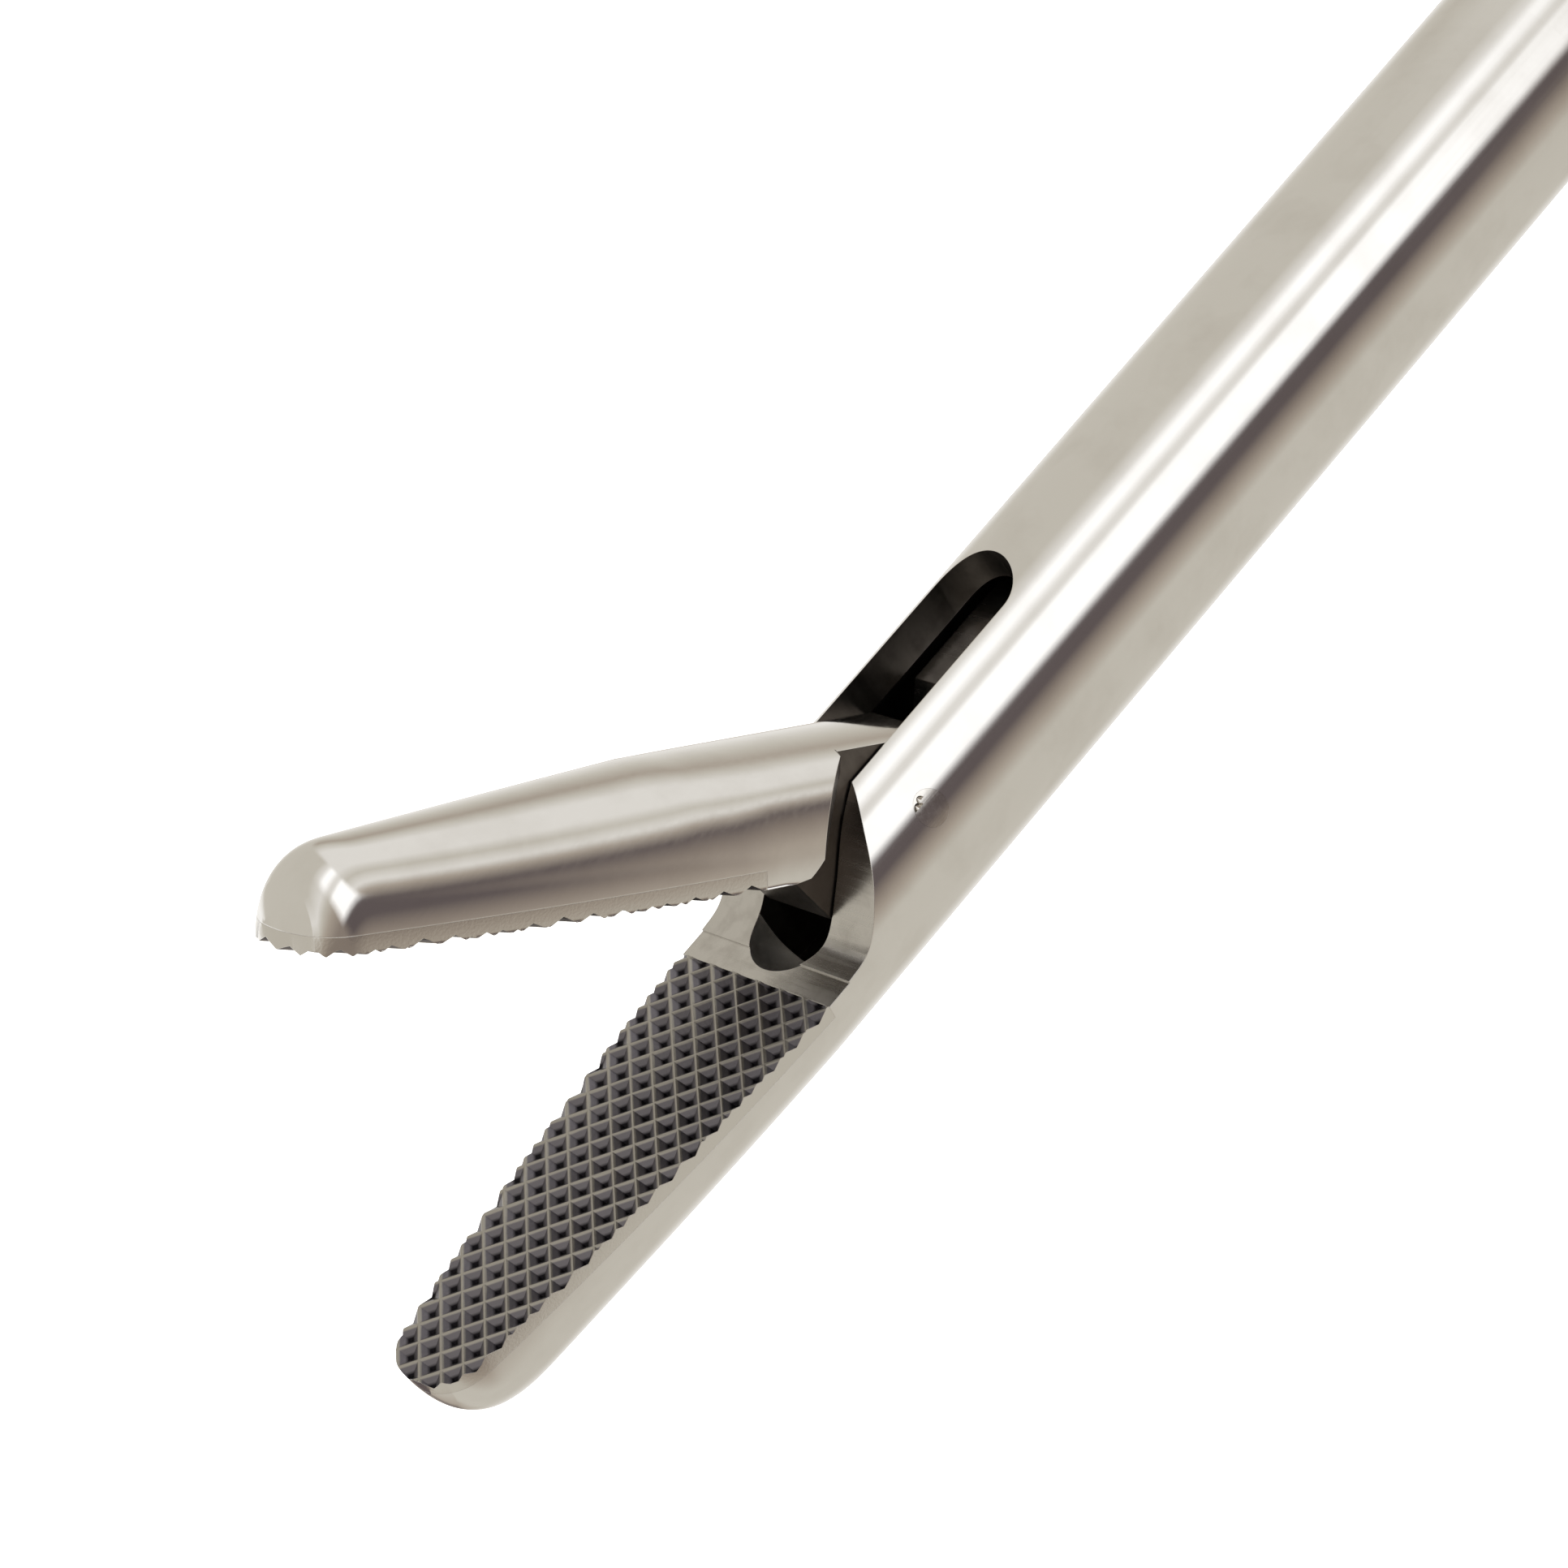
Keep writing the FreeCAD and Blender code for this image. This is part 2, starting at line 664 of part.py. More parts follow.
def grip_ribs(points, first, outward):
    """shallow V grooves across a handle's outer face, on from first along X"""
    outline = Part.ArcOfCircle(*[Vector(x, 0, z) for x, z in points])
    grooves = []
    for k in range(int(ribbed_length / rib_pitch) + 1):
        guess = Vector(first + k * rib_pitch, 0, points[1][1])
        spot = outline.value(outline.parameter(guess))
        deep = (spot.x, spot.z - outward * rib_depth)
        wide = [(spot.x + side * 2 * rib_half_width, spot.z + outward * rib_depth) for side in (1, -1)]
        grooves.append(polygon_plate([deep] + wide, -half_width - 1.0, half_width + 1.0))
    return grooves


def barrel():
    spigot_start = nut_length - barrel_spigot_length
    edge = 0.5
    rear = 2.0
    return turned([(spigot_start, 0), (spigot_start, barrel_spigot_radius), (nut_length, barrel_spigot_radius),
                   (nut_length, barrel_radius - edge), (nut_length + edge, barrel_radius),
                   (barrel_end - rear, barrel_radius), (barrel_end, barrel_radius - rear), (barrel_end, 0)])


def hub():
    """the flat block between the lever's cheeks, which grows out of the barrel in a cone"""
    start = barrel_end - 8.0
    low = hinge_z - hinge_boss_radius
    front = hinge_x - 1.1 * hinge_boss_radius
    belly = (hinge_x - 0.74 * hinge_boss_radius, hinge_z - 0.67 * hinge_boss_radius)
    outline = chain([(start, hub_top_z), (hinge_x + hinge_boss_radius, hub_top_z), (hub_end, hub_rear_z),
                     (hub_end, low - hub_drop), (hinge_x, low)])
    outline += [arc((hinge_x, low), belly, (front, -4.5))]
    outline += chain([(front, -4.5), (start, -4.0), (start, hub_top_z)])
    block = plate(outline, -hub_half_width, hub_half_width)
    wide = barrel_radius + hub_cone
    return block.common(turned([(start, 0), (start, barrel_radius), (start + hub_cone, wide),
                                (hub_end + 1.0, wide), (hub_end + 1.0, 0)]))


def lower_grip():
    beyond = 5.0
    top_x, top_z = grip_top[0]
    low_x, low_z = grip_bottom[0]
    rear_top = grip_top[-1]
    rear_low = grip_bottom[-1]
    rear = (handle_end, (rear_top[1] + rear_low[1]) / 2)
    outline = chain([(top_x, top_z + beyond), (rear_top[0] - 1.0, rear_top[1] + beyond), rear_top])
    outline += [arc(rear_top, rear, rear_low)]
    outline += chain([rear_low, (rear_low[0] - 1.0, rear_low[1] - beyond), (low_x, low_z - beyond), grip_bottom[0],
                      grip_top[0], (top_x, top_z + beyond)])
    grip = plate(outline, -half_width, half_width)
    return grip.common(rounded_ring(grip_top, -1)).common(rounded_ring(grip_bottom, -1))


def handle_body():
    body = barrel().fuse([hub(), lower_grip()]).removeSplitter()
    body = body.cut(along_x(tube_seat_radius + brazed_gap, 0.0, tube_seat_depth + seal_length))
    body = body.cut(along_x(rod_radius + rod_clearance, tube_seat_depth, cavity_start + 1.0))
    body = body.cut(along_x(cavity_radius, cavity_start, hub_end + 1.0))
    body = body.cut(along_y(hinge_radius + running_gap, half_width, hinge_x, hinge_z))
    reach = cross_pin_radius + cross_slot_gap
    swing = rod_travel / 2
    body = body.cut(box(hinge_x - swing, hinge_x + swing, -half_width, half_width, -reach, reach))
    for x in (hinge_x - swing, hinge_x + swing):
        body = body.cut(along_y(reach, half_width, x, 0.0))
    body = body.cut(along_z(port_radius + brazed_gap, -barrel_radius - 2.0, -shaft_radius - 1.0, port_x))
    body = body.cut(along_z(port_drill_radius, -barrel_radius, 0.0, port_x))
    body = body.cut(rack_slot())
    body = body.cut(along_y(pawl_pin_radius + brazed_gap, half_width, *pawl_pivot()))
    body = body.cut(leaf_pocket())
    for x in leaf_screw_places():
        body = body.cut(along_z(screw_radius + brazed_gap, leaf_seat_z - leaf_screw_depth, leaf_seat_z + 1.0, x))
    body = body.cut(grip_ribs(grip_bottom, grip_middle - 15.0, -1))
    return body.removeSplitter()


def rack_slot():
    """open at the grip's rear, for the rack and the pawl, down to the pawl spring's floor"""
    half = pawl_slot_width / 2
    return box(rack_slot_x(), handle_end + 1.0, -half, half, grip_low_z, -10.0).cut(spring_floor())


# Squeeze lever: two cheeks beside the hub, joined behind it into one upper grip
def closing_lever():
    rear = handle_end - 2.0
    above = lever_top[1][1] + 5.0
    left = (hinge_x - hinge_boss_radius, hinge_z)
    right = (hinge_x + hinge_boss_radius, hinge_z)
    front_top = (left[0] + 0.6, hub_top_z - 1.0)
    shoulder = (lever_top[0][0] + 2.2, lever_top[0][1] + 1.6)
    heel = (rear - 1.5, lever_seat_z)
    rear_top = (rear - 1.0, lever_top[-1][1])
    outline = [arc(right, (hinge_x, hinge_z - hinge_boss_radius), left), line(left, front_top),
               arc(front_top, (left[0] + 2.1, hub_top_z + 3.1), shoulder)]
    outline += chain([shoulder, (shoulder[0], above), (rear - 2.0, above), rear_top])
    outline += [arc(rear_top, (rear, lever_seat_z + 1.8), heel), line(heel, lever_bottom[-1]), arc(*lever_bottom),
                line(lever_bottom[0], right)]
    lever = plate(outline, -half_width, half_width).common(rounded_ring(lever_top, 1))
    inner = hub_half_width + cheek_gap
    lever = lever.cut(box(0.0, lever_bridge_x - inner, -inner, inner, -ring_depth, ring_depth))
    lever = lever.cut(along_z(inner, -ring_depth, ring_depth, lever_bridge_x - inner))
    lever = lever.cut(along_y(hinge_radius + brazed_gap, half_width, hinge_x, hinge_z))
    lever = lever.cut(hinge_screw_head(hinge_head_radius + running_gap))
    lever = lever.cut(along_y(cross_pin_radius + brazed_gap, half_width, cross_pin_x, cross_pin_z))
    for x in rack_screw_places():
        lever = lever.cut(along_z(screw_radius + brazed_gap, lever_seat_z - 1.0, lever_seat_z + rack_screw_depth, x))
    lever = lever.cut(grip_ribs(lever_top, grip_middle - 3.0, 1))
    return lever.removeSplitter()


def hinge_screw_head(radius):
    return Part.makeCylinder(radius, hinge_head_height, Vector(hinge_x, -half_width, hinge_z), Vector(0, 1, 0))


def lever_hinge_screw():
    screw = along_y(hinge_radius, half_width, hinge_x, hinge_z).fuse(hinge_screw_head(hinge_head_radius))
    slot = box(hinge_x - 2 * hinge_head_radius, hinge_x + 2 * hinge_head_radius, -half_width - 1.0,
               -half_width + 0.6 * hinge_head_height, hinge_z - plug_slot / 2, hinge_z + plug_slot / 2)
    return screw.cut(slot)


def lever_drive_pin():
    return along_y(cross_pin_radius, half_width, cross_pin_x, cross_pin_z)


# Ratchet, laid out by angles seen from the lever hinge
def rack_polar(radius, degrees):
    angle = math.radians(degrees)
    return (hinge_x + radius * math.cos(angle), hinge_z + radius * math.sin(angle))


def tooth_angle():
    return math.degrees(tooth_pitch / rack_radius)


def rack_slot_x():
    return rack_polar(rack_radius - rack_depth, pawl_angle)[0] - rack_slot_room


def foot_start_x():
    return rack_polar(rack_radius, rack_top_angle())[0] - foot_length + foot_behind


def rack_top_angle():
    return math.degrees(math.asin((lever_seat_z - hinge_z) / rack_radius))


def rack_screw_places():
    start = foot_start_x()
    return (start + foot_edge, start + foot_length - foot_edge)


def dropped_nose_angle():
    """where the pawl's nose lies, seen from the lever hinge, once it has swung into a tooth"""
    x, z = pawl_pivot()
    nose = rack_polar(rack_radius + pawl_gap, pawl_angle)
    swing = math.radians(-pawl_drop())
    u, w = nose[0] - x, nose[1] - z
    down_x = x + u * math.cos(swing) + w * math.sin(swing)
    down_z = z - u * math.sin(swing) + w * math.cos(swing)
    return math.degrees(math.atan2(down_z - hinge_z, down_x - hinge_x))


def pawl_drop():
    return math.degrees((tooth_depth - tooth_gap + pawl_gap) / pawl_pivot_drop)


def ratchet_rack():
    inner = rack_radius - rack_depth
    top = rack_top_angle() - math.degrees(0.5 * foot_thickness / rack_radius)
    first = dropped_nose_angle() + lever_travel - math.degrees(tooth_gap / rack_radius)
    last = first - (tooth_count - 0.4) * tooth_angle()
    middle = (top + last) / 2
    arm = plate([arc(rack_polar(rack_radius, last), rack_polar(rack_radius, middle), rack_polar(rack_radius, top)),
                 line(rack_polar(rack_radius, top), rack_polar(inner, top)),
                 arc(rack_polar(inner, top), rack_polar(inner, middle), rack_polar(inner, last)),
                 line(rack_polar(inner, last), rack_polar(rack_radius, last))], -rack_width / 2, rack_width / 2)
    beyond = 0.2
    hook = math.degrees(math.tan(math.radians(tooth_undercut)) / rack_radius)
    for k in range(tooth_count):
        root = first - k * tooth_angle()
        notch = [rack_polar(rack_radius + beyond, root + hook * (tooth_depth + beyond)),
                 rack_polar(rack_radius - tooth_depth, root),
                 rack_polar(rack_radius + beyond, root + tooth_angle() * (1 + beyond / tooth_depth))]
        arm = arm.cut(polygon_plate(notch, -rack_width, rack_width))
    start = foot_start_x()
    half = foot_width / 2
    foot = box(start, start + foot_length, -half, half, lever_seat_z - foot_thickness, lever_seat_z)
    rack = arm.fuse(foot)
    for x in rack_screw_places():
        rack = rack.cut(along_z(screw_radius + brazed_gap, 0.0, lever_seat_z + 1.0, x))
    return rack.removeSplitter()


def rack_screws():
    z = lever_seat_z - foot_thickness
    screws = []
    for x in rack_screw_places():
        shank = along_z(screw_radius, z, lever_seat_z + rack_screw_depth, x)
        screws.append(shank.fuse(screw_head(x, z - screw_head_height, z, -1)).removeSplitter())
    return Part.makeCompound(screws)


def screw_head(x, z0, z1, side):
    """a low round head with a driver slot in the face that side points to"""
    head = along_z(screw_head_radius, z0, z1, x)
    depth = 0.5 * screw_head_height
    face = z1 if side > 0 else z0
    half = screw_head_radius + 1.0
    return head.cut(box(x - half, x + half, -plug_slot / 4, plug_slot / 4, face - depth, face + depth))


def pawl_pivot():
    nose = rack_polar(rack_radius + pawl_gap, pawl_angle)
    return (nose[0] + pawl_pivot_back, nose[1] - pawl_pivot_drop)


def ratchet_pawl():
    x, z = pawl_pivot()
    boss = pawl_boss_radius
    crest = rack_radius + pawl_gap
    nose = rack_polar(crest, pawl_angle)
    under = rack_polar(crest + pawl_nose_depth, pawl_angle)
    rise = pawl_nose_depth * math.tan(math.radians(pawl_nose_slope))
    over = rack_polar(crest + pawl_nose_depth, pawl_angle + math.degrees(rise / crest))
    tail_low = (handle_end + 1.5, z + 0.2)
    tail_top = (tail_low[0], tail_low[1] + pawl_pad_height)
    arm_top = z + 1.6
    arm = polygon_plate([nose, over, (over[0] + 2.2, over[1] - 0.6), (x + boss, arm_top), (x + boss + 1.0, arm_top),
                         tail_top, tail_low, (x + boss, z - 1.4), (x, z - 1.0), (x - 1.0, z),
                         (under[0] + 0.2, z + boss), under], -pawl_width / 2, pawl_width / 2)
    pawl = arm.fuse([along_y(boss, pawl_width / 2, x, z), pawl_pad(tail_low, tail_top)])
    return pawl.cut(along_y(pawl_pin_radius + running_gap, pawl_width, x, z)).removeSplitter()


def pawl_pad(low, top):
    """the thumb pad behind the handle, with three grooves across its upper face"""
    end = (handle_end + pawl_tail, low[1] + 3.0)
    end_low = (end[0], end[1] - 1.2)
    end_top = (end[0], end[1] + 1.4)
    outline = [line(low, end_low), arc(end_low, (end[0] + 1.1, end[1] + 0.2), end_top)] + chain([end_top, top, low])
    pad = plate(outline, -pawl_pad_half, pawl_pad_half)
    for k in range(3):
        step = (k + 1) / 4.0
        groove_x = top[0] + (end_top[0] - top[0]) * step
        groove_z = top[1] + (end_top[1] - top[1]) * step
        notch = [(groove_x, groove_z - 0.3), (groove_x + 0.5, groove_z + 0.4), (groove_x - 0.5, groove_z + 0.4)]
        pad = pad.cut(polygon_plate(notch, -pawl_pad_half - 1.0, pawl_pad_half + 1.0))
    return pad


def pawl_pivot_pin():
    return along_y(pawl_pin_radius, half_width, *pawl_pivot())


def spring_floor():
    """the web left under the pawl's tail, which carries its spring"""
    x, z = pawl_pivot()
    start = x + pawl_boss_radius - 0.4
    return box(start, handle_end + 2.0, -half_width, half_width, grip_low_z, z - spring_floor_drop)


def pawl_spring():
    x, z = pawl_pivot()
    floor = z - spring_floor_drop
    height = spring_height - 2 * spring_wire_radius
    helix = Part.makeHelix(height / spring_turns, height, spring_coil_radius)
    sides = 6
    corners = []
    for k in range(sides):
        angle = 2 * math.pi * k / sides
        corners.append(Vector(spring_coil_radius + spring_wire_radius * math.cos(angle), 0,
                              spring_wire_radius * math.sin(angle)))
    section = Part.makePolygon(corners + corners[:1])
    spring = Part.Wire(helix.Edges).makePipeShell([section], True, True)
    spring.translate(Vector(x + spring_place, 0, floor + spring_wire_radius + 0.01))
    return spring


# Leaf spring between the grips
def leaf_pocket():
    half = leaf_width / 2 + 0.2
    end = leaf_foot_x + leaf_foot_half + 6.0
    return box(leaf_foot_x - leaf_foot_half - 1.0, end, -half, half, leaf_seat_z, 0.0)


def leaf_screw_places():
    return (leaf_foot_x - 4.0, leaf_foot_x + 3.0)


def leaf_spring():
    z = leaf_seat_z + leaf_thickness / 2
    half = leaf_thickness / 2
    bend_x = leaf_foot_x + leaf_foot_half
    foot_start = leaf_foot_x - leaf_foot_half
    tip_x = foot_start_x() - leaf_tip_room
    rise = Part.BezierCurve()
    poles = [(bend_x, z), (bend_x + 14.0, z), (tip_x - 12.0, leaf_tip_z), (tip_x, leaf_tip_z)]
    rise.setPoles([Vector(x, 0, height) for x, height in poles])
    steps = 12
    sides = {1: [], -1: []}
    for k in range(steps + 1):
        point = rise.value(k / steps)
        slope = rise.tangent(k / steps)[0]
        for side in sides:
            off = side * half
            sides[side].append((point.x - off * slope.z, point.z + off * slope.x))
    upper, lower = sides[1], sides[-1]
    # The tip is curled down, so that it slides under the lever on a round
    crown = (tip_x + 2.4, leaf_tip_z - 0.3)
    end = (tip_x + 4.6, leaf_tip_z - 1.2)
    end_top = (end[0] + 0.25, end[1] + half)
    end_low = (end[0] - 0.15, end[1] - half + 0.1)
    outline = [line((foot_start, z + half), upper[0]), curve(upper),
               arc(upper[-1], (crown[0] + 0.1, crown[1] + half), end_top), line(end_top, end_low),
               arc(end_low, (crown[0] - 0.1, crown[1] - half), lower[-1]), curve(lower)]
    outline += chain([lower[0], (foot_start, z - half), (foot_start, z + half)])
    leaf = plate(outline, -leaf_width / 2, leaf_width / 2)
    for x in leaf_screw_places():
        leaf = leaf.cut(along_z(screw_radius + brazed_gap, leaf_seat_z - 1.0, leaf_seat_z + 3.0, x))
    return leaf


def leaf_spring_screws():
    top = leaf_seat_z + leaf_thickness
    screws = []
    for x in leaf_screw_places():
        shank = along_z(screw_radius, leaf_seat_z - leaf_screw_depth, top, x)
        screws.append(shank.fuse(screw_head(x, top, top + screw_head_height, 1)).removeSplitter())
    return Part.makeCompound(screws)


jaw_end = [fixed_jaw, lower_jaw_insert, moving_jaw, upper_jaw_insert, jaw_pivot_pin, jaw_drive_pin, rod_fork]
handle_pieces = [shaft_tube, pull_rod, nose_nut, rod_seal, handle_body, flush_port, flush_port_cap,
                 rod_end_block, rod_lock_nut, bore_plug, closing_lever, lever_hinge_screw, lever_drive_pin,
                 leaf_spring, leaf_spring_screws, ratchet_rack, rack_screws, ratchet_pawl, pawl_pivot_pin,
                 pawl_spring]

os.makedirs("parts", exist_ok=True)
for make in jaw_end + handle_pieces:
    shape = to_jaw_end(make()) if make in jaw_end else make()
    shape.exportStep("parts/" + make.__name__ + ".step")
    print(make.__name__, "solids", len(shape.Solids), "valid", shape.isValid(), "volume", round(shape.Volume, 2))
print("jaw travel", jaw_travel, "rod travel", rod_travel, "lever travel", lever_travel)
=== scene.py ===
import math

import bmesh
import bpy
from mathutils import Matrix, Vector


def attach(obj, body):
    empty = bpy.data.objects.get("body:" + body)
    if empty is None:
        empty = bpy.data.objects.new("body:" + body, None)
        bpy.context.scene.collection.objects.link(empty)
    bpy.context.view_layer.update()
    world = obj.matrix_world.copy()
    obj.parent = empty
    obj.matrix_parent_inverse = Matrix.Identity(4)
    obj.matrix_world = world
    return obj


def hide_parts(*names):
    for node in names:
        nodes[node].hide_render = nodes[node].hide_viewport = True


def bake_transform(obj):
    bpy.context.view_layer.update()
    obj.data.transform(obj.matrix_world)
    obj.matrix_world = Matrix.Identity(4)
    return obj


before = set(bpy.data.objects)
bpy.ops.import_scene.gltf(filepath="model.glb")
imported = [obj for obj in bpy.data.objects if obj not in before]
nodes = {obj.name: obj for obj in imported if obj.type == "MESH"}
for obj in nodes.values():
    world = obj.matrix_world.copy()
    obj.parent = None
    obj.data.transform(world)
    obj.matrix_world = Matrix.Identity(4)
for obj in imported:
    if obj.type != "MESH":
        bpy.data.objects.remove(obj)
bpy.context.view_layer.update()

mm = 0.001
print("frame loaded with", len(nodes), "nodes")


# sRGB hex colour to linear
def linear(hexColour):
    parts = [int(hexColour[i:i + 2], 16) / 255 for i in (1, 3, 5)]
    return [p / 12.92 if p <= 0.04045 else ((p + 0.055) / 1.055) ** 2.4 for p in parts] + [1.0]


# adds a shader node; settings name a property or an input, links name an input and its source
def addNode(tree, kind, settings=None, links=None):
    node = tree.nodes.new(kind)
    for name, value in (settings or {}).items():
        if isinstance(name, str) and hasattr(node, name):
            setattr(node, name, value)
        else:
            node.inputs[name].default_value = value
    for name, source in (links or {}).items():
        tree.links.new(source, node.inputs[name])
    return node


def fillRamp(node, stops):
    ramp = node.color_ramp
    while len(ramp.elements) > 1:
        ramp.elements.remove(ramp.elements[-1])
    ramp.elements[0].position = stops[0][0]
    ramp.elements[0].color = linear(stops[0][1])
    for place, colour in stops[1:]:
        ramp.elements.new(place).color = linear(colour)


# Camera, fitted to the shaft's two edges and the jaws in the photograph
camera = {
    "place": (-0.35173, -0.08087, 0.06519),
    "right": (0.617, -0.636, -0.463),
    "up": (0.712, 0.200, 0.673),
    "ahead": (0.335, 0.745, -0.576),
    "lens": 116.586,
}


def makeCamera():
    data = bpy.data.cameras.new("camera")
    data.lens = camera["lens"]
    data.sensor_width = 36.0
    data.clip_start = 0.002
    data.clip_end = 20.0
    made = bpy.data.objects.new("camera", data)
    bpy.context.scene.collection.objects.link(made)
    ahead = Vector(camera["ahead"]).normalized()
    right = Vector(camera["right"])
    right = (right - ahead * right.dot(ahead)).normalized()
    up = right.cross(ahead)
    turn = Matrix((right, up, -ahead)).transposed()
    made.matrix_world = Matrix.Translation(Vector(camera["place"])) @ turn.to_4x4()
    bpy.context.scene.camera = made


makeCamera()
print("camera made")

# Studio. A mirror-bright bar shows the room as bands along itself, so the room is drawn by the angle about
# X: 0 is the camera's side, 90 overhead, 180 the far side, in degrees. Six tones make up the whole room
studio = {
    "tones": {
        "softbox": "#ffffff",
        "ceiling": "#d4d2ce",
        "wall": "#b8b4ab",
        "shade": "#9e958a",
        "dim": "#80766e",
        "tableEdge": "#585050",
    },
    # key softbox over the camera's shoulder, with a dark table edge under it and a thin strut before it
    "shaftBands": [
        (-180, "wall"), (-155, "ceiling"), (-146, "shade"), (-138, "shade"), (-128, "ceiling"),
        (-100, "wall"), (-35, "wall"), (-20, "shade"), (-8, "dim"), (2, "tableEdge"), (15, "tableEdge"),
        (24, "softbox"), (49, "softbox"), (54, "ceiling"), (59, "ceiling"), (68, "softbox"),
        (74, "softbox"), (82, "ceiling"), (95, "wall"), (180, "wall"),
    ],
    # the side of the room that the opened jaw faces: no softbox, a pale ceiling and the same table edge
    "jawBands": [
        (-180, "wall"), (-158, "ceiling"), (-140, "shade"), (-60, "wall"), (-14, "shade"), (0, "dim"),
        (12, "tableEdge"), (22, "shade"), (30, "ceiling"), (45, "wall"), (64, "ceiling"),
        (120, "ceiling"), (145, "wall"), (160, "shade"), (180, "wall"),
    ],
    # behind the object: a strip softbox low on the far side, with a dark gap under it
    "backBands": [
        (-180, "wall"), (-168, "softbox"), (-151, "softbox"), (-147, "tableEdge"), (-134, "tableEdge"),
        (-129, "shade"), (-115, "wall"), (-80, "wall"), (-60, "shade"), (-42, "dim"), (20, "dim"),
        (40, "shade"), (55, "wall"), (68, "ceiling"), (95, "wall"), (180, "wall"),
    ],
    "backTurn": (-0.12, 0.1),
    "jawTurn": (0.5, 0.58),
    "bandLight": 1.42,
    "fill": "#f4f2ef",
    "fillLight": 0.8,
    "floorHeight": -0.0334,
    "floorColour": "#f2f1ef",
    "floorGlow": 0.78,
}


def makeWorld():
    world = bpy.data.worlds.new("studio")
    bpy.context.scene.world = world
    world.use_nodes = True
    tree = world.node_tree
    tree.nodes.clear()
    where = addNode(tree, "ShaderNodeTexCoord")
    parts = addNode(tree, "ShaderNodeSeparateXYZ", None, {0: where.outputs["Generated"]})
    back = addNode(tree, "ShaderNodeMath", {"operation": "MULTIPLY", 1: -1.0}, {0: parts.outputs["Y"]})
    angle = addNode(tree, "ShaderNodeMath", {"operation": "ARCTAN2"},
                    {0: parts.outputs["Z"], 1: back.outputs[0]})
    share = addNode(tree, "ShaderNodeMapRange", {"From Min": -math.pi, "From Max": math.pi},
                    {"Value": angle.outputs[0]})
    room = {}
    for side in ("shaftBands", "jawBands", "backBands"):
        bands = addNode(tree, "ShaderNodeValToRGB", None, {0: share.outputs["Result"]})
        fillRamp(bands, [((degrees + 180) / 360, studio["tones"][tone]) for degrees, tone in studio[side]])
        room[side] = bands.outputs[0]
    mixed = room["backBands"]
    for side, turn in (("shaftBands", "backTurn"), ("jawBands", "jawTurn")):
        near, far = studio[turn]
        reach = addNode(tree, "ShaderNodeMapRange", {"From Min": near, "From Max": far},
                        {"Value": parts.outputs["X"]})
        blended = addNode(tree, "ShaderNodeMix", {"data_type": "RGBA"},
                          {0: reach.outputs[0], 6: mixed, 7: room[side]})
        mixed = blended.outputs[2]
    mirrored = addNode(tree, "ShaderNodeBackground", {"Strength": studio["bandLight"]}, {"Color": mixed})
    fill = addNode(tree, "ShaderNodeBackground",
                   {"Color": linear(studio["fill"]), "Strength": studio["fillLight"]})
    white = addNode(tree, "ShaderNodeBackground", {"Color": (1, 1, 1, 1), "Strength": 1.0})
    path = addNode(tree, "ShaderNodeLightPath")
    lit = addNode(tree, "ShaderNodeMixShader", None,
                  {0: path.outputs["Is Glossy Ray"], 1: fill.outputs[0], 2: mirrored.outputs[0]})
    seen = addNode(tree, "ShaderNodeMath", {"operation": "MAXIMUM"},
                   {0: path.outputs["Is Camera Ray"], 1: path.outputs["Is Transmission Ray"]})
    both = addNode(tree, "ShaderNodeMixShader", None,
                   {0: seen.outputs[0], 1: lit.outputs[0], 2: white.outputs[0]})
    addNode(tree, "ShaderNodeOutputWorld", None, {"Surface": both.outputs[0]})


# White sweep: lit for its shadow, and glowing a little so that the rest of it reads as white
def makeFloor():
    material = bpy.data.materials.new("matteWhiteSweep")
    material.use_nodes = True
    tree = material.node_tree
    tree.nodes.clear()
    matte = addNode(tree, "ShaderNodeBsdfDiffuse", {"Color": linear(studio["floorColour"])})
    glow = addNode(tree, "ShaderNodeEmission", {"Color": (1, 1, 1, 1), "Strength": studio["floorGlow"]})
    path = addNode(tree, "ShaderNodeLightPath")
    seen = addNode(tree, "ShaderNodeMath", {"operation": "MAXIMUM"},
                   {0: path.outputs["Is Camera Ray"], 1: path.outputs["Is Transmission Ray"]})
    both = addNode(tree, "ShaderNodeAddShader", None, {0: matte.outputs[0], 1: glow.outputs[0]})
    pick = addNode(tree, "ShaderNodeMixShader", None,
                   {0: seen.outputs[0], 1: matte.outputs[0], 2: both.outputs[0]})
    addNode(tree, "ShaderNodeOutputMaterial", None, {"Surface": pick.outputs[0]})
    mesh = bpy.data.meshes.new("floor")
    reach = 6.0
    corners = [(-reach, -reach), (reach, -reach), (reach, reach), (-reach, reach)]
    mesh.from_pydata([(x, y, studio["floorHeight"]) for x, y in corners], [], [(0, 1, 2, 3)])
    floor = bpy.data.objects.new("floor", mesh)
    floor.data.materials.append(material)
    floor.visible_glossy = False  # the metal mirrors the studio's bands instead
    bpy.context.scene.collection.objects.link(floor)


def makeLight(name, place, target, size, power):
    data = bpy.data.lights.new(name, "AREA")
    data.shape = "SQUARE"
    data.size = size
    data.energy = power
    lamp = bpy.data.objects.new(name, data)
    lamp.location = place
    lamp.rotation_mode = "QUATERNION"
    lamp.rotation_quaternion = (Vector(target) - Vector(place)).to_track_quat("-Z", "Y")
    lamp.visible_camera = False
    lamp.visible_glossy = False
    bpy.context.scene.collection.objects.link(lamp)


makeWorld()
makeFloor()
makeLight("overheadSoftbox", (-0.1, -0.25, 1.1), (-0.1, 0.0, 0.0), 0.9, 7.0)
print("studio made")


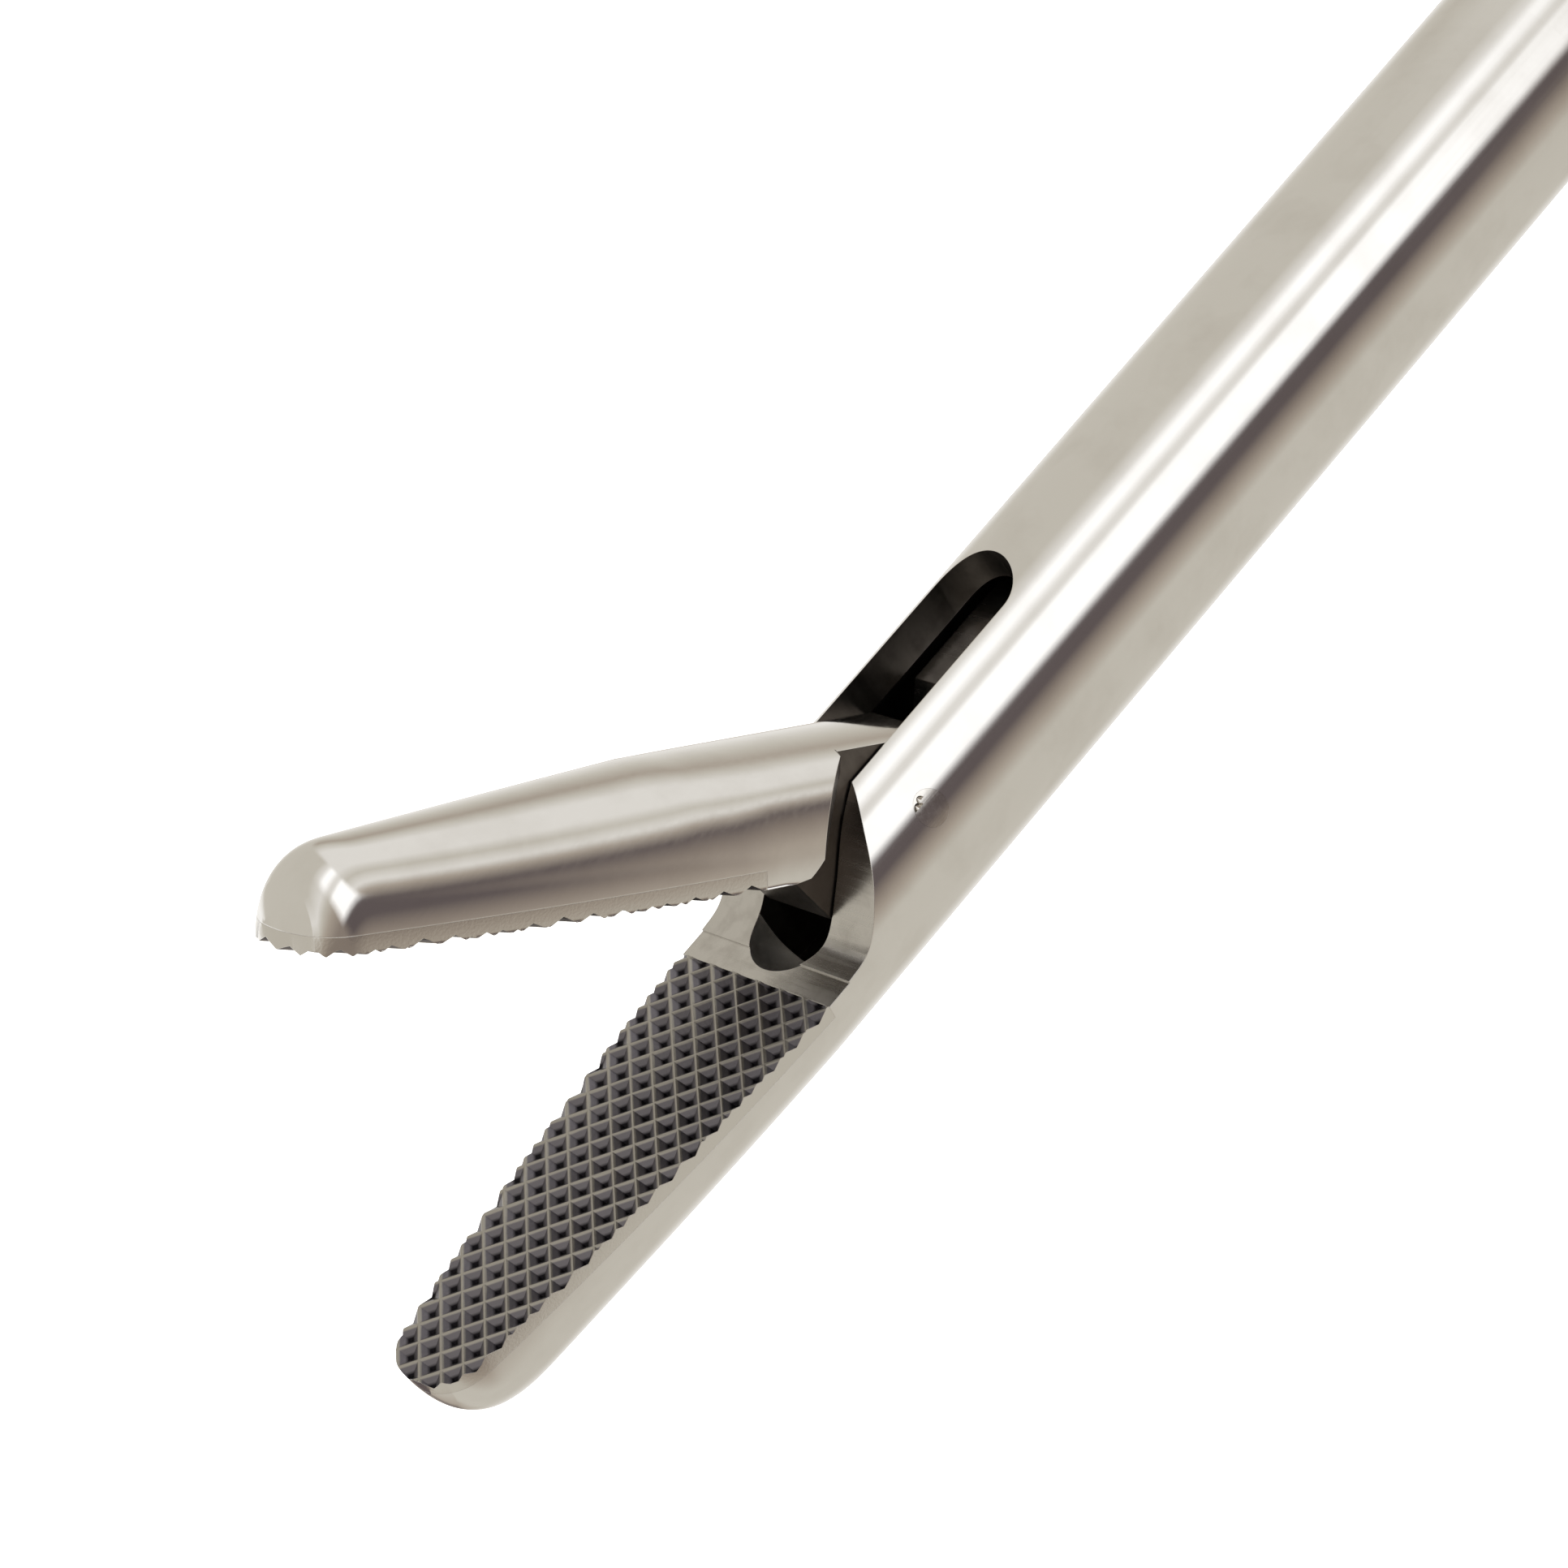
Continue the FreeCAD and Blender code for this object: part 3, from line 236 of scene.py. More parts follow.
# Steel finishes, with lengths in millimetres. lines is the spacing of the tool or polishing marks along X,
# Y and Z, and a large number draws a mark out along that axis. edge is the radius that handling left on the
# edges, edgeEnds the X where that stops, and flushPin the X, Z and radius of a place that is left sharp
finishes = {
    # stainless 420, ground and mirror buffed: sharp bands with a faint haze of polishing marks along it
    "mirrorBuffedStainless": {
        "colour": "#e1dfdc", "worn": "#d7d4d0", "roughness": (0.08, 0.16), "lines": (6.0, 0.09, 0.09),
        "lineDepth": 0.00022, "grain": 1.4, "grainDepth": 0.0012, "edge": 0.025,
        "edgeEnds": -292.0, "flushPin": (-313.87, 1.0, 0.55)},
    # the same steel where a cutter left it, out of the buff's reach: dull and finely ribbed, its colour painted
    # dark as painted shade inside the slot and on the tang
    "milledStainlessPaintedShade": {
        "colour": "#6b6662", "worn": "#4d4845", "roughness": (0.3, 0.46), "lines": (0.22, 4.0, 4.0),
        "lineDepth": 0.003, "grain": 0.6, "grainDepth": 0.004, "edge": 0.03},
    # the same steel stoned by hand round the hinge: satin, softer reflections than the buffed skin
    "stonedStainless": {
        "colour": "#c9c6c1", "worn": "#b0aca6", "roughness": (0.2, 0.32), "lines": (0.1, 3.0, 0.1),
        "lineDepth": 0.0012, "grain": 0.5, "grainDepth": 0.003, "edge": 0.03},
    # the pocket under the hinge, left by a ball-nosed cutter: pale, and too rough to mirror anything
    "ballMilledStainless": {
        "colour": "#e2dfda", "worn": "#c3beb7", "roughness": (0.5, 0.65), "lines": (0.2, 0.2, 0.2),
        "lineDepth": 0.002, "grain": 0.6, "grainDepth": 0.004, "edge": 0.03},
    # stainless 304 tube, drawn and mirror polished: the same look with longer marks
    "drawnStainlessTube": {
        "colour": "#e1dfdc", "worn": "#d7d4d0", "roughness": (0.06, 0.14), "lines": (14.0, 0.10, 0.10),
        "lineDepth": 0.00022, "grain": 1.8, "grainDepth": 0.0012, "edge": 0.0},
    # ground stainless pin, its end dressed flush: bright, with a staking mark
    "groundStainlessPin": {
        "colour": "#dedbd6", "worn": "#c4bfb8", "roughness": (0.07, 0.18), "lines": (0.08, 5.0, 0.08),
        "lineDepth": 0.0003, "grain": 0.35, "grainDepth": 0.001, "edge": 0.0},
    # centreless ground rod: satin, fine marks round the bar
    "centrelessGroundRod": {
        "colour": "#b9b6b1", "worn": "#8f8b86", "roughness": (0.18, 0.32), "lines": (0.07, 3.0, 3.0),
        "lineDepth": 0.0007, "grain": 1.0, "grainDepth": 0.002, "edge": 0.04},
    # turned stainless nut and port: fine rings left by the lathe
    "turnedStainless": {
        "colour": "#d6d4d0", "worn": "#bfbbb5", "roughness": (0.14, 0.26), "lines": (0.12, 9.0, 9.0),
        "lineDepth": 0.0012, "grain": 2.0, "grainDepth": 0.003, "edge": 0.12},
    # glass-bead blasted stainless: an even silky grey, the 0.1 mm beads drawn at 0.25 mm so that they show
    "beadBlastedStainless": {
        "colour": "#cfcdca", "worn": "#bcb9b4", "roughness": (0.3, 0.42), "lines": (0.25, 0.25, 0.25),
        "lineDepth": 0.006, "grain": 7.0, "grainDepth": 0.01, "edge": 0.35},
    # turned machine screws with a bright driver slot
    "turnedScrewSteel": {
        "colour": "#d3d0ca", "worn": "#a9a49c", "roughness": (0.14, 0.26), "lines": (0.15, 0.15, 2.0),
        "lineDepth": 0.001, "grain": 0.8, "grainDepth": 0.003, "edge": 0.1},
    # rolled spring strip: grey, with long rolling marks
    "rolledSpringSteel": {
        "colour": "#b4b1ab", "worn": "#8f8a82", "roughness": (0.16, 0.28), "lines": (9.0, 0.12, 9.0),
        "lineDepth": 0.0012, "grain": 1.5, "grainDepth": 0.004, "edge": 0.06},
    # hardened and surface ground ratchet steel: darker, with straight grinding marks
    "hardenedGroundSteel": {
        "colour": "#a3a09b", "worn": "#7d7770", "roughness": (0.18, 0.32), "lines": (0.14, 6.0, 0.5),
        "lineDepth": 0.0015, "grain": 1.2, "grainDepth": 0.003, "edge": 0.1},
}


# What the steel finishes share: how large a smudge is against the grain, where the noise turns to worn
# steel, how much of it does, and how far smudges dull the shine
steelPattern = {
    "smudgeSize": 6,
    "wornRange": (0.45, 0.75),
    "wornMost": 0.7,
    "smudgeRange": (0.15, 0.4),
    "edgeSamples": 6,
}


def makeSteel(name):
    spec = finishes[name]
    material = bpy.data.materials.new(name)
    material.use_nodes = True
    tree = material.node_tree
    tree.nodes.clear()
    where = addNode(tree, "ShaderNodeTexCoord").outputs["Object"]
    lineScale = [1000 / spacing for spacing in spec["lines"]]
    drawn = addNode(tree, "ShaderNodeMapping", {"Scale": lineScale}, {"Vector": where})
    marks = addNode(tree, "ShaderNodeTexNoise", {"Scale": 1.0, "Detail": 3.0, "Roughness": 0.6},
                    {"Vector": drawn.outputs[0]})
    grain = addNode(tree, "ShaderNodeTexNoise",
                    {"Scale": 1000 / spec["grain"], "Detail": 5.0, "Roughness": 0.55},
                    {"Vector": where})
    smudgeScale = 1000 / (spec["grain"] * steelPattern["smudgeSize"])
    cloud = addNode(tree, "ShaderNodeTexNoise", {"Scale": smudgeScale, "Detail": 2.0}, {"Vector": where})
    tone = addNode(tree, "ShaderNodeMix", {"data_type": "RGBA"})
    tone.inputs[6].default_value = linear(spec["colour"])
    tone.inputs[7].default_value = linear(spec["worn"])
    wornFrom, wornTo = steelPattern["wornRange"]
    patch = addNode(tree, "ShaderNodeMapRange",
                    {"From Min": wornFrom, "From Max": wornTo, "To Max": steelPattern["wornMost"]},
                    {"Value": grain.outputs[0]})
    tree.links.new(patch.outputs[0], tone.inputs[0])
    smudge = addNode(tree, "ShaderNodeMath", {"operation": "MULTIPLY"},
                     {0: cloud.outputs[0], 1: marks.outputs[0]})
    clean, smudged = steelPattern["smudgeRange"]
    glossy, matt = spec["roughness"]
    dull = addNode(tree, "ShaderNodeMapRange",
                   {"From Min": clean, "From Max": smudged, "To Min": glossy, "To Max": matt},
                   {"Value": smudge.outputs[0]})
    fine = addNode(tree, "ShaderNodeBump", {"Strength": 1.0, "Distance": spec["lineDepth"] * mm},
                   {"Height": marks.outputs[0]})
    if spec["edge"]:
        rounded = addNode(tree, "ShaderNodeBevel",
                          {"samples": steelPattern["edgeSamples"], "Radius": spec["edge"] * mm})
        tree.links.new(rounded.outputs[0], fine.inputs["Normal"])
        if "edgeEnds" in spec:  # no rounding where the neck is ground flush with the tube
            along = addNode(tree, "ShaderNodeSeparateXYZ", None, {0: where})
            kept = addNode(tree, "ShaderNodeMath", {"operation": "LESS_THAN", 1: spec["edgeEnds"] * mm},
                           {0: along.outputs[0]})
            pinX, pinZ, clear = spec["flushPin"]
            off = addNode(tree, "ShaderNodeVectorMath",
                          {"operation": "SUBTRACT", 1: (pinX * mm, 0, pinZ * mm)}, {0: where})
            flat = addNode(tree, "ShaderNodeVectorMath", {"operation": "MULTIPLY", 1: (1, 0, 1)},
                           {0: off.outputs[0]})
            away = addNode(tree, "ShaderNodeVectorMath", {"operation": "LENGTH"}, {0: flat.outputs[0]})
            apart = addNode(tree, "ShaderNodeMath", {"operation": "GREATER_THAN", 1: clear * mm},
                            {0: away.outputs["Value"]})
            both = addNode(tree, "ShaderNodeMath", {"operation": "MULTIPLY"},
                           {0: kept.outputs[0], 1: apart.outputs[0]})
            radius = addNode(tree, "ShaderNodeMath", {"operation": "MULTIPLY", 1: spec["edge"] * mm},
                             {0: both.outputs[0]})
            tree.links.new(radius.outputs[0], rounded.inputs["Radius"])
    wavy = addNode(tree, "ShaderNodeBump", {"Strength": 1.0, "Distance": spec["grainDepth"] * mm},
                   {"Height": grain.outputs[0], "Normal": fine.outputs[0]})
    metal = addNode(tree, "ShaderNodeBsdfPrincipled", {"Metallic": 1.0},
                    {"Base Color": tone.outputs[2], "Roughness": dull.outputs[0],
                     "Normal": wavy.outputs[0]})
    addNode(tree, "ShaderNodeOutputMaterial", None, {"Surface": metal.outputs[0]})
    return material


# Tungsten carbide, sintered and diamond-knurled: a cool dark grey with a dry shine. Its tone follows depth:
# painted shade nearly black in the pits, and a painted highlight on the crests. Its sides are ground with the
# jaw, and match it
carbide = {
    "paintedPitShade": "#1d1b1f",
    "flank": "#77747a",
    "crest": "#aca8a1",
    "side": "#d6d3ce",
    "knurlDepth": 0.16,
    "paintedShadeShare": (0.2, 0.45),
    "crestShare": (0.80, 0.93),
    "wearSize": 1.3,
    "wearShift": 0.3,
    "sideMask": (0.30, 0.2),
    "roughness": (0.26, 0.42),
    "sideRoughness": 0.16,
    "grit": 0.06,
    "gritDepth": 0.003,
    "edge": 0.02,
}


def makeCarbide(name, facePoint, faceNormal):
    material = bpy.data.materials.new(name)
    material.use_nodes = True
    tree = material.node_tree
    tree.nodes.clear()
    coords = addNode(tree, "ShaderNodeTexCoord")
    where = coords.outputs["Object"]
    # the tone by depth below the face: painted shade in the pits, painted highlight on the crests
    inward = addNode(tree, "ShaderNodeVectorMath", {"operation": "SUBTRACT", 1: facePoint}, {0: where})
    depth = addNode(tree, "ShaderNodeVectorMath", {"operation": "DOT_PRODUCT", 1: faceNormal},
                    {0: inward.outputs[0]})
    share = addNode(tree, "ShaderNodeMapRange", {"From Min": -carbide["knurlDepth"] * mm, "From Max": 0.0},
                    {"Value": depth.outputs["Value"]})
    grit = addNode(tree, "ShaderNodeTexNoise", {"Scale": 1000 / carbide["grit"], "Detail": 3.0},
                   {"Vector": where})
    wear = addNode(tree, "ShaderNodeTexNoise", {"Scale": 1000 / carbide["wearSize"], "Detail": 3.0},
                   {"Vector": where})
    shift = carbide["wearShift"]
    jitter = addNode(tree, "ShaderNodeMath", {"operation": "MULTIPLY_ADD", 1: shift, 2: -shift / 2},
                     {0: wear.outputs[0]})
    level = addNode(tree, "ShaderNodeMath", {"operation": "ADD"},
                    {0: share.outputs[0], 1: jitter.outputs[0]})
    tone = addNode(tree, "ShaderNodeValToRGB", None, {0: level.outputs[0]})
    bottom, wall = carbide["paintedShadeShare"]
    highlightStart, bright = carbide["crestShare"]
    fillRamp(tone, [(0.0, carbide["paintedPitShade"]), (bottom, carbide["paintedPitShade"]), (wall, carbide["flank"]),
                    (highlightStart, carbide["flank"]), (bright, carbide["crest"])])
    facing = addNode(tree, "ShaderNodeVectorMath", {"operation": "DOT_PRODUCT", 1: faceNormal},
                     {0: coords.outputs["Normal"]})
    faceOn, sideOn = carbide["sideMask"]
    ground = addNode(tree, "ShaderNodeMapRange", {"From Min": faceOn, "From Max": sideOn},
                     {"Value": facing.outputs["Value"]})
    colour = addNode(tree, "ShaderNodeMix", {"data_type": "RGBA"},
                     {0: ground.outputs[0], 6: tone.outputs[0]})
    colour.inputs[7].default_value = linear(carbide["side"])
    dull = addNode(tree, "ShaderNodeMapRange",
                   {"To Min": carbide["roughness"][0], "To Max": carbide["roughness"][1]},
                   {"Value": grit.outputs[0]})
    finish = addNode(tree, "ShaderNodeMix", {"data_type": "FLOAT", 3: carbide["sideRoughness"]},
                     {0: ground.outputs[0], 2: dull.outputs[0]})
    rounded = addNode(tree, "ShaderNodeBevel", {"samples": 6, "Radius": carbide["edge"] * mm})
    rough = addNode(tree, "ShaderNodeBump", {"Strength": 1.0, "Distance": carbide["gritDepth"] * mm},
                    {"Height": grit.outputs[0], "Normal": rounded.outputs[0]})
    metal = addNode(tree, "ShaderNodeBsdfPrincipled", {"Metallic": 1.0},
                    {"Base Color": colour.outputs[2], "Roughness": finish.outputs[0],
                     "Normal": rough.outputs[0]})
    addNode(tree, "ShaderNodeOutputMaterial", None, {"Surface": metal.outputs[0]})
    return material


# Silicone rubber, compression moulded: soft sheen, a fine matt skin and a little dust in patches
rubbers = {
    "mouldedBlueSilicone": {
        "colour": "#5f7486", "dusty": "#8494a1", "roughness": (0.42, 0.58), "skin": 0.18,
        "dust": 3.0},
    "mouldedGreySilicone": {
        "colour": "#8d8f92", "dusty": "#a9aaab", "roughness": (0.45, 0.6), "skin": 0.15,
        "dust": 3.0},
}


def makeRubber(name):
    spec = rubbers[name]
    material = bpy.data.materials.new(name)
    material.use_nodes = True
    tree = material.node_tree
    tree.nodes.clear()
    where = addNode(tree, "ShaderNodeTexCoord").outputs["Object"]
    skin = addNode(tree, "ShaderNodeTexNoise", {"Scale": 1000 / spec["skin"], "Detail": 4.0},
                   {"Vector": where})
    dust = addNode(tree, "ShaderNodeTexNoise",
                   {"Scale": 1000 / spec["dust"], "Detail": 6.0, "Roughness": 0.65}, {"Vector": where})
    tone = addNode(tree, "ShaderNodeMix", {"data_type": "RGBA"})
    tone.inputs[6].default_value = linear(spec["colour"])
    tone.inputs[7].default_value = linear(spec["dusty"])
    share = addNode(tree, "ShaderNodeMapRange", {"From Min": 0.45, "From Max": 0.8},
                    {"Value": dust.outputs[0]})
    tree.links.new(share.outputs[0], tone.inputs[0])
    dull = addNode(tree, "ShaderNodeMapRange",
                   {"To Min": spec["roughness"][0], "To Max": spec["roughness"][1]},
                   {"Value": skin.outputs[0]})
    rounded = addNode(tree, "ShaderNodeBevel", {"samples": 6, "Radius": 0.2 * mm})
    fine = addNode(tree, "ShaderNodeBump", {"Strength": 1.0, "Distance": 0.008 * mm},
                   {"Height": skin.outputs[0], "Normal": rounded.outputs[0]})
    rubber = addNode(tree, "ShaderNodeBsdfPrincipled",
                     {"IOR": 1.41, "Sheen Weight": 0.15, "Sheen Roughness": 0.4},
                     {"Base Color": tone.outputs[2], "Roughness": dull.outputs[0],
                      "Normal": fine.outputs[0]})
    addNode(tree, "ShaderNodeOutputMaterial", None, {"Surface": rubber.outputs[0]})
    return material


materials = {name: makeSteel(name) for name in finishes}
materials.update({name: makeRubber(name) for name in rubbers})
print(len(materials), "finishes made")


# Mesh tools. Pieces are drawn in millimetres about the top corner of the hinge cheeks, nose towards -X
def makeObject(name, mesh):
    made = bpy.data.objects.new(name, mesh)
    bpy.context.scene.collection.objects.link(made)
    return made


def meshFrom(name, points, faces):
    mesh = bpy.data.meshes.new(name)
    mesh.from_pydata(points, [], faces)
    work = bmesh.new()
    work.from_mesh(mesh)
    bmesh.ops.recalc_face_normals(work, faces=work.faces)
    work.to_mesh(mesh)
    work.free()
    return makeObject(name, mesh)


# a closed skin through rings that all have the same number of points
def skinOver(name, rings):
    count = len(rings[0])
    points = [p for ring in rings for p in ring]
    faces = []
    for row in range(len(rings) - 1):
        for k in range(count):
            a, b = row * count + k, row * count + (k + 1) % count
            faces.append((a, b, b + count, a + count))
    faces.append(tuple(range(count)))
    faces.append(tuple(range(len(points) - count, len(points))))
    return meshFrom(name, points, faces)


# a side outline in the XZ plane made into a plate from y0 to y1
def plateFrom(name, outline, y0, y1):
    return skinOver(name, [[(x, y, z) for x, z in outline] for y in (y0, y1)])


def blockFrom(name, x0, x1, y0, y1, z0, z1):
    return plateFrom(name, [(x0, z0), (x1, z0), (x1, z1), (x0, z1)], y0, y1)


def roundPoints(radius, count, start=0.0, turn=2 * math.pi):
    return [(radius * math.cos(start + turn * k / count), radius * math.sin(start + turn * k / count))
            for k in range(count)]


def rodAlongX(name, radius, x0, x1, count=96):
    return skinOver(name, [[(x, u, v) for u, v in roundPoints(radius, count)] for x in (x0, x1)])


def rodAlongY(name, radius, y0, y1, x, z, count=64):
    return skinOver(name, [[(x + u, y, z + v) for u, v in roundPoints(radius, count)] for y in (y0, y1)])


# a closed profile of (x, radius) turned about the shaft's axis
def turnedAlongX(name, profile, count=128):
    rings = [[(x, u, v) for u, v in roundPoints(radius, count)] for x, radius in profile]
    points = [p for ring in rings for p in ring]
    faces = []
    for row in range(len(rings)):
        below = (row + 1) % len(rings) * count
        for k in range(count):
            side = (k + 1) % count
            faces.append((row * count + k, row * count + side, below + side, below + k))
    return meshFrom(name, points, faces)


# round wire along centres, with a direction across the wire given at each
def wireAlong(name, centres, across, radius, sides=12):
    rings = []
    for k, centre in enumerate(centres):
        ahead = (centres[min(k + 1, len(centres) - 1)] - centres[max(k - 1, 0)]).normalized()
        out = (across[k] - ahead * across[k].dot(ahead)).normalized()
        up = ahead.cross(out)
        rings.append([centre + out * u + up * v for u, v in roundPoints(radius, sides)])
    return skinOver(name, rings)


# puts the modifiers' result in the mesh
def settle(piece):
    result = bpy.data.meshes.new_from_object(piece.evaluated_get(bpy.context.evaluated_depsgraph_get()))
    piece.modifiers.clear()
    old = piece.data
    piece.data = result
    bpy.data.meshes.remove(old)


def combine(piece, tool, operation):
    change = piece.modifiers.new("cut", "BOOLEAN")
    change.operation = operation
    change.solver = "EXACT"
    change.object = tool
    settle(piece)
    bpy.data.objects.remove(tool)


def cut(piece, *tools):
    for tool in tools:
        combine(piece, tool, "DIFFERENCE")


# smooth shading that keeps edges, with the true normal where a corner lies on the turned or ground skin
def shade(piece, skinNormal=None, edgeAngle=24.0):
    piece.data.shade_smooth()
    piece.data.set_sharp_from_angle(angle=math.radians(edgeAngle))
    even = piece.modifiers.new("even", "WEIGHTED_NORMAL")
    even.keep_sharp = True
    settle(piece)
    mesh = piece.data
    if skinNormal is None:
        return
    corners = [Vector(n.vector) for n in mesh.corner_normals]
    for face in mesh.polygons:
        for loop in face.loop_indices:
            true = skinNormal(mesh.vertices[mesh.loops[loop].vertex_index].co)
            if true is not None and true.dot(face.normal) > 0.975:
                corners[loop] = true
    mesh.normals_split_custom_set(corners)


# gives each face one of the piece's materials by its centre and normal
def markFaces(piece, pick):
    for face in piece.data.polygons:
        face.material_index = pick(face.center, face.normal)


# from the drawing's millimetres to the frame, turned about the jaw's hinge if it is open
def toFrame(piece, openBy=0.0):
    pivot = Vector((jawEnd["pivotX"], 0, jawEnd["pivotZ"]))
    opened = Matrix.Rotation(math.radians(openBy), 4, "Y")
    turn = Matrix.Translation(pivot) @ opened @ Matrix.Translation(-pivot)
    move = Matrix.Scale(mm, 4) @ Matrix.Translation(Vector((jawEnd["datum"], 0, 0))) @ turn
    piece.data.transform(move)


# Shared sizes of the jaw end, the same as in the solids
jawEnd = {
    "datum": -314.55,
    "shaftRadius": 2.5,
    "reach": 15.45,
    "movingReach": 14.65,
    "faceZ": -0.19,
    "rootStep": 0.04,
    "insertThickness": 0.40,
    "taperStart": 4.0,
    "sideTaper": 0.0514,
    "sideBow": 0.0057,
    "backTaper": (5.5, 0.06),
    # length of each rounding at the nose, and how square it is
    "sideNose": (1.1, 2.4),
    "bellyNose": (2.45, 2.5),
    "backNose": (1.5, 2.4),
    "pivotX": 0.68,
    "pivotZ": 1.0,
    "openAngle": 38.1,
    "clear": 6.0,
    "pastNose": -17.0,
    "cheek": [(0.40, 2.50), (-0.70, 1.70), (-1.66, 0.71), (-2.50, -0.03), (-3.30, -0.19)],
}


def noseFactor(d, reach, length, power):
    u = min(1.0, max(0.0, (d - (reach - length)) / length))
    return max(0.0, 1.0 - u ** power) ** (1.0 / power)


def sideAt(d, reach):
    run = max(0.0, d - jawEnd["taperStart"])
    side = jawEnd["shaftRadius"] - jawEnd["sideTaper"] * run - jawEnd["sideBow"] * run * run
    return side * noseFactor(d, reach, *jawEnd["sideNose"])


def bellyAt(d):
    return jawEnd["shaftRadius"] * noseFactor(d, jawEnd["reach"], *jawEnd["bellyNose"])


def backAt(d):
    start, slope = jawEnd["backTaper"]
    depth = jawEnd["shaftRadius"] - slope * max(0.0, d - start)
    return depth * noseFactor(d, jawEnd["movingReach"], *jawEnd["backNose"])


# a smooth line through the cheek's points, from its top corner down to the jaw's root
def cheekLine(shift=0.0, steps=12):
    points = [Vector((x + shift, z)) for x, z in jawEnd["cheek"]]
    ends = [points[0] * 2 - points[1]] + points + [points[-1] + Vector((-0.8, 0))]
    line = []
    for a, b, c, d in zip(ends, ends[1:], ends[2:], ends[3:]):
        for k in range(steps):
            t = k / steps
            bend, twist = 2 * a - 5 * b + 4 * c - d, 3 * b - a - 3 * c + d
            place = 0.5 * (2 * b + (c - a) * t + bend * t * t + twist * t ** 3)
            line.append((place.x, place.y))
    return line + [(points[-1].x, points[-1].y)]


# stations closer together towards the nose, where the outline turns in
def jawStations(reach, back):
    places = [back]
    step = 0.5
    while places[-1] + step < reach - 2.6:
        places.append(places[-1] + step)
    start = places[-1]
    places += [start + (reach - start) * math.sin(math.pi / 2 * k / 26) for k in range(1, 26)]
    return places + [reach - 0.0015]


def jawSkin(name, reach, depthAt, back, count=192):
    rings = []
    for d in jawStations(reach, back):
        side, depth = max(sideAt(d, reach), 0.004), max(depthAt(d), 0.004)
        rings.append([(-d, side * u, depth * v) for u, v in roundPoints(1.0, count)])
    return skinOver(name, rings)


def jawNormal(reach, depthAt):
    def normalAt(point):
        d = min(-point.x, reach - 0.01)
        side, depth = sideAt(d, reach), depthAt(d)
        if side < 0.02 or depth < 0.02:
            return None
        if abs((point.y / side) ** 2 + (point.z / depth) ** 2 - 1) > 0.02:
            return None
        step = 0.3  # the slope is taken over this length, since the buff softens where the nose turns in
        sideSlope = (sideAt(d + step, reach) - sideAt(d - step, reach)) / (2 * step)
        depthSlope = (depthAt(d + step) - depthAt(d - step)) / (2 * step)
        along = point.y ** 2 * sideSlope / side ** 3 + point.z ** 2 * depthSlope / depth ** 3
        return Vector((along, point.y / side ** 2, point.z / depth ** 2)).normalized()
    return normalAt


# Fixed jaw: ground from the end of the shaft, with a milled slot for the moving jaw's tang
fixedJaw = {
    "neckEnd": 25.0,
    "spigot": 6.0,
    "spigotRadius": 1.995,
    "boreRadius": 1.7,
    "boreFront": 2.3,
    "slotWidth": 2.3,
    "slotFront": -3.67,
    "slotBack": 6.5,
    "slotFloor": -1.7,
    "pinHole": 0.403,
    "spigotLap": 1.0,
}


def makeFixedJaw():
    spec = fixedJaw
    piece = jawSkin("fixed_jaw_ground", jawEnd["reach"], bellyAt, -spec["neckEnd"])
    top, far = jawEnd["clear"], jawEnd["pastNose"]
    cheek = cheekLine()
    outline = cheek + [(far, jawEnd["faceZ"]), (far, top), (cheek[0][0], top)]
    seat = jawEnd["faceZ"] - jawEnd["insertThickness"]
    root = jawEnd["faceZ"] - jawEnd["rootStep"]
    half = spec["slotWidth"] / 2
    ballX, ballZ = spec["slotFront"] + half, spec["slotFloor"] + half
    arc = [t * math.pi / 32 for t in range(17)]
    ball = [(half * math.sin(t) + 0.002, ballZ - half * math.cos(t)) for t in arc] + [(half + 0.002, top)]
    ballEnd = skinOver("ballEnd", [[(ballX + x, y, z) for x, y in roundPoints(r, 64)] for r, z in ball])
    front = [(ballX, half), (ballX, -half)]
    back = [(spec["slotBack"] - half + x, y) for x, y in roundPoints(half, 40, -math.pi / 2, math.pi)]
    slotLine = front + back
    cut(piece,
        plateFrom("above", outline, -top, top),
        blockFrom("seat", far, -jawEnd["taperStart"], -top, top, seat, top),
        blockFrom("root", -jawEnd["taperStart"] - 0.01, jawEnd["cheek"][-1][0], -top, top, root, 0.0),
        skinOver("slot", [[(x, y, z) for x, y in slotLine] for z in (spec["slotFloor"], top)]),
        ballEnd,
        rodAlongX("bore", spec["boreRadius"], spec["boreFront"], 40),
        rodAlongY("pinHole", spec["pinHole"], -top, top, jawEnd["pivotX"], jawEnd["pivotZ"]))
    neckEnd = spec["neckEnd"]
    spigot = rodAlongX("spigot", spec["spigotRadius"], neckEnd - spec["spigotLap"],
                       neckEnd + spec["spigot"])
    cut(spigot, rodAlongX("bore", spec["boreRadius"], 20, 40))
    combine(piece, spigot, "UNION")
    shade(piece, jawNormal(jawEnd["reach"], bellyAt))

    # 0 is the buffed skin, 1 the milled inside with painted shade, 2 the stoned faces round the hinge, 3 the
    # milled pocket
    def pick(centre, normal):
        if centre.x < -jawEnd["taperStart"] or math.hypot(centre.y, centre.z) > 2.4:
            return 0
        inSlot = abs(centre.y) < half + 0.01 and ballX < centre.x < spec["slotBack"]
        if (inSlot and (abs(normal.y) > 0.9 or centre.z < -1)) or centre.x > 2.0:
            return 1
        fromBall = math.hypot(centre.x - ballX, centre.y)
        inPocket = fromBall < half + 0.01 and centre.z < jawEnd["faceZ"] - 0.06
        return 3 if inPocket and abs(centre.y) < half else 2
    markFaces(piece, pick)
    toFrame(piece)
    return piece


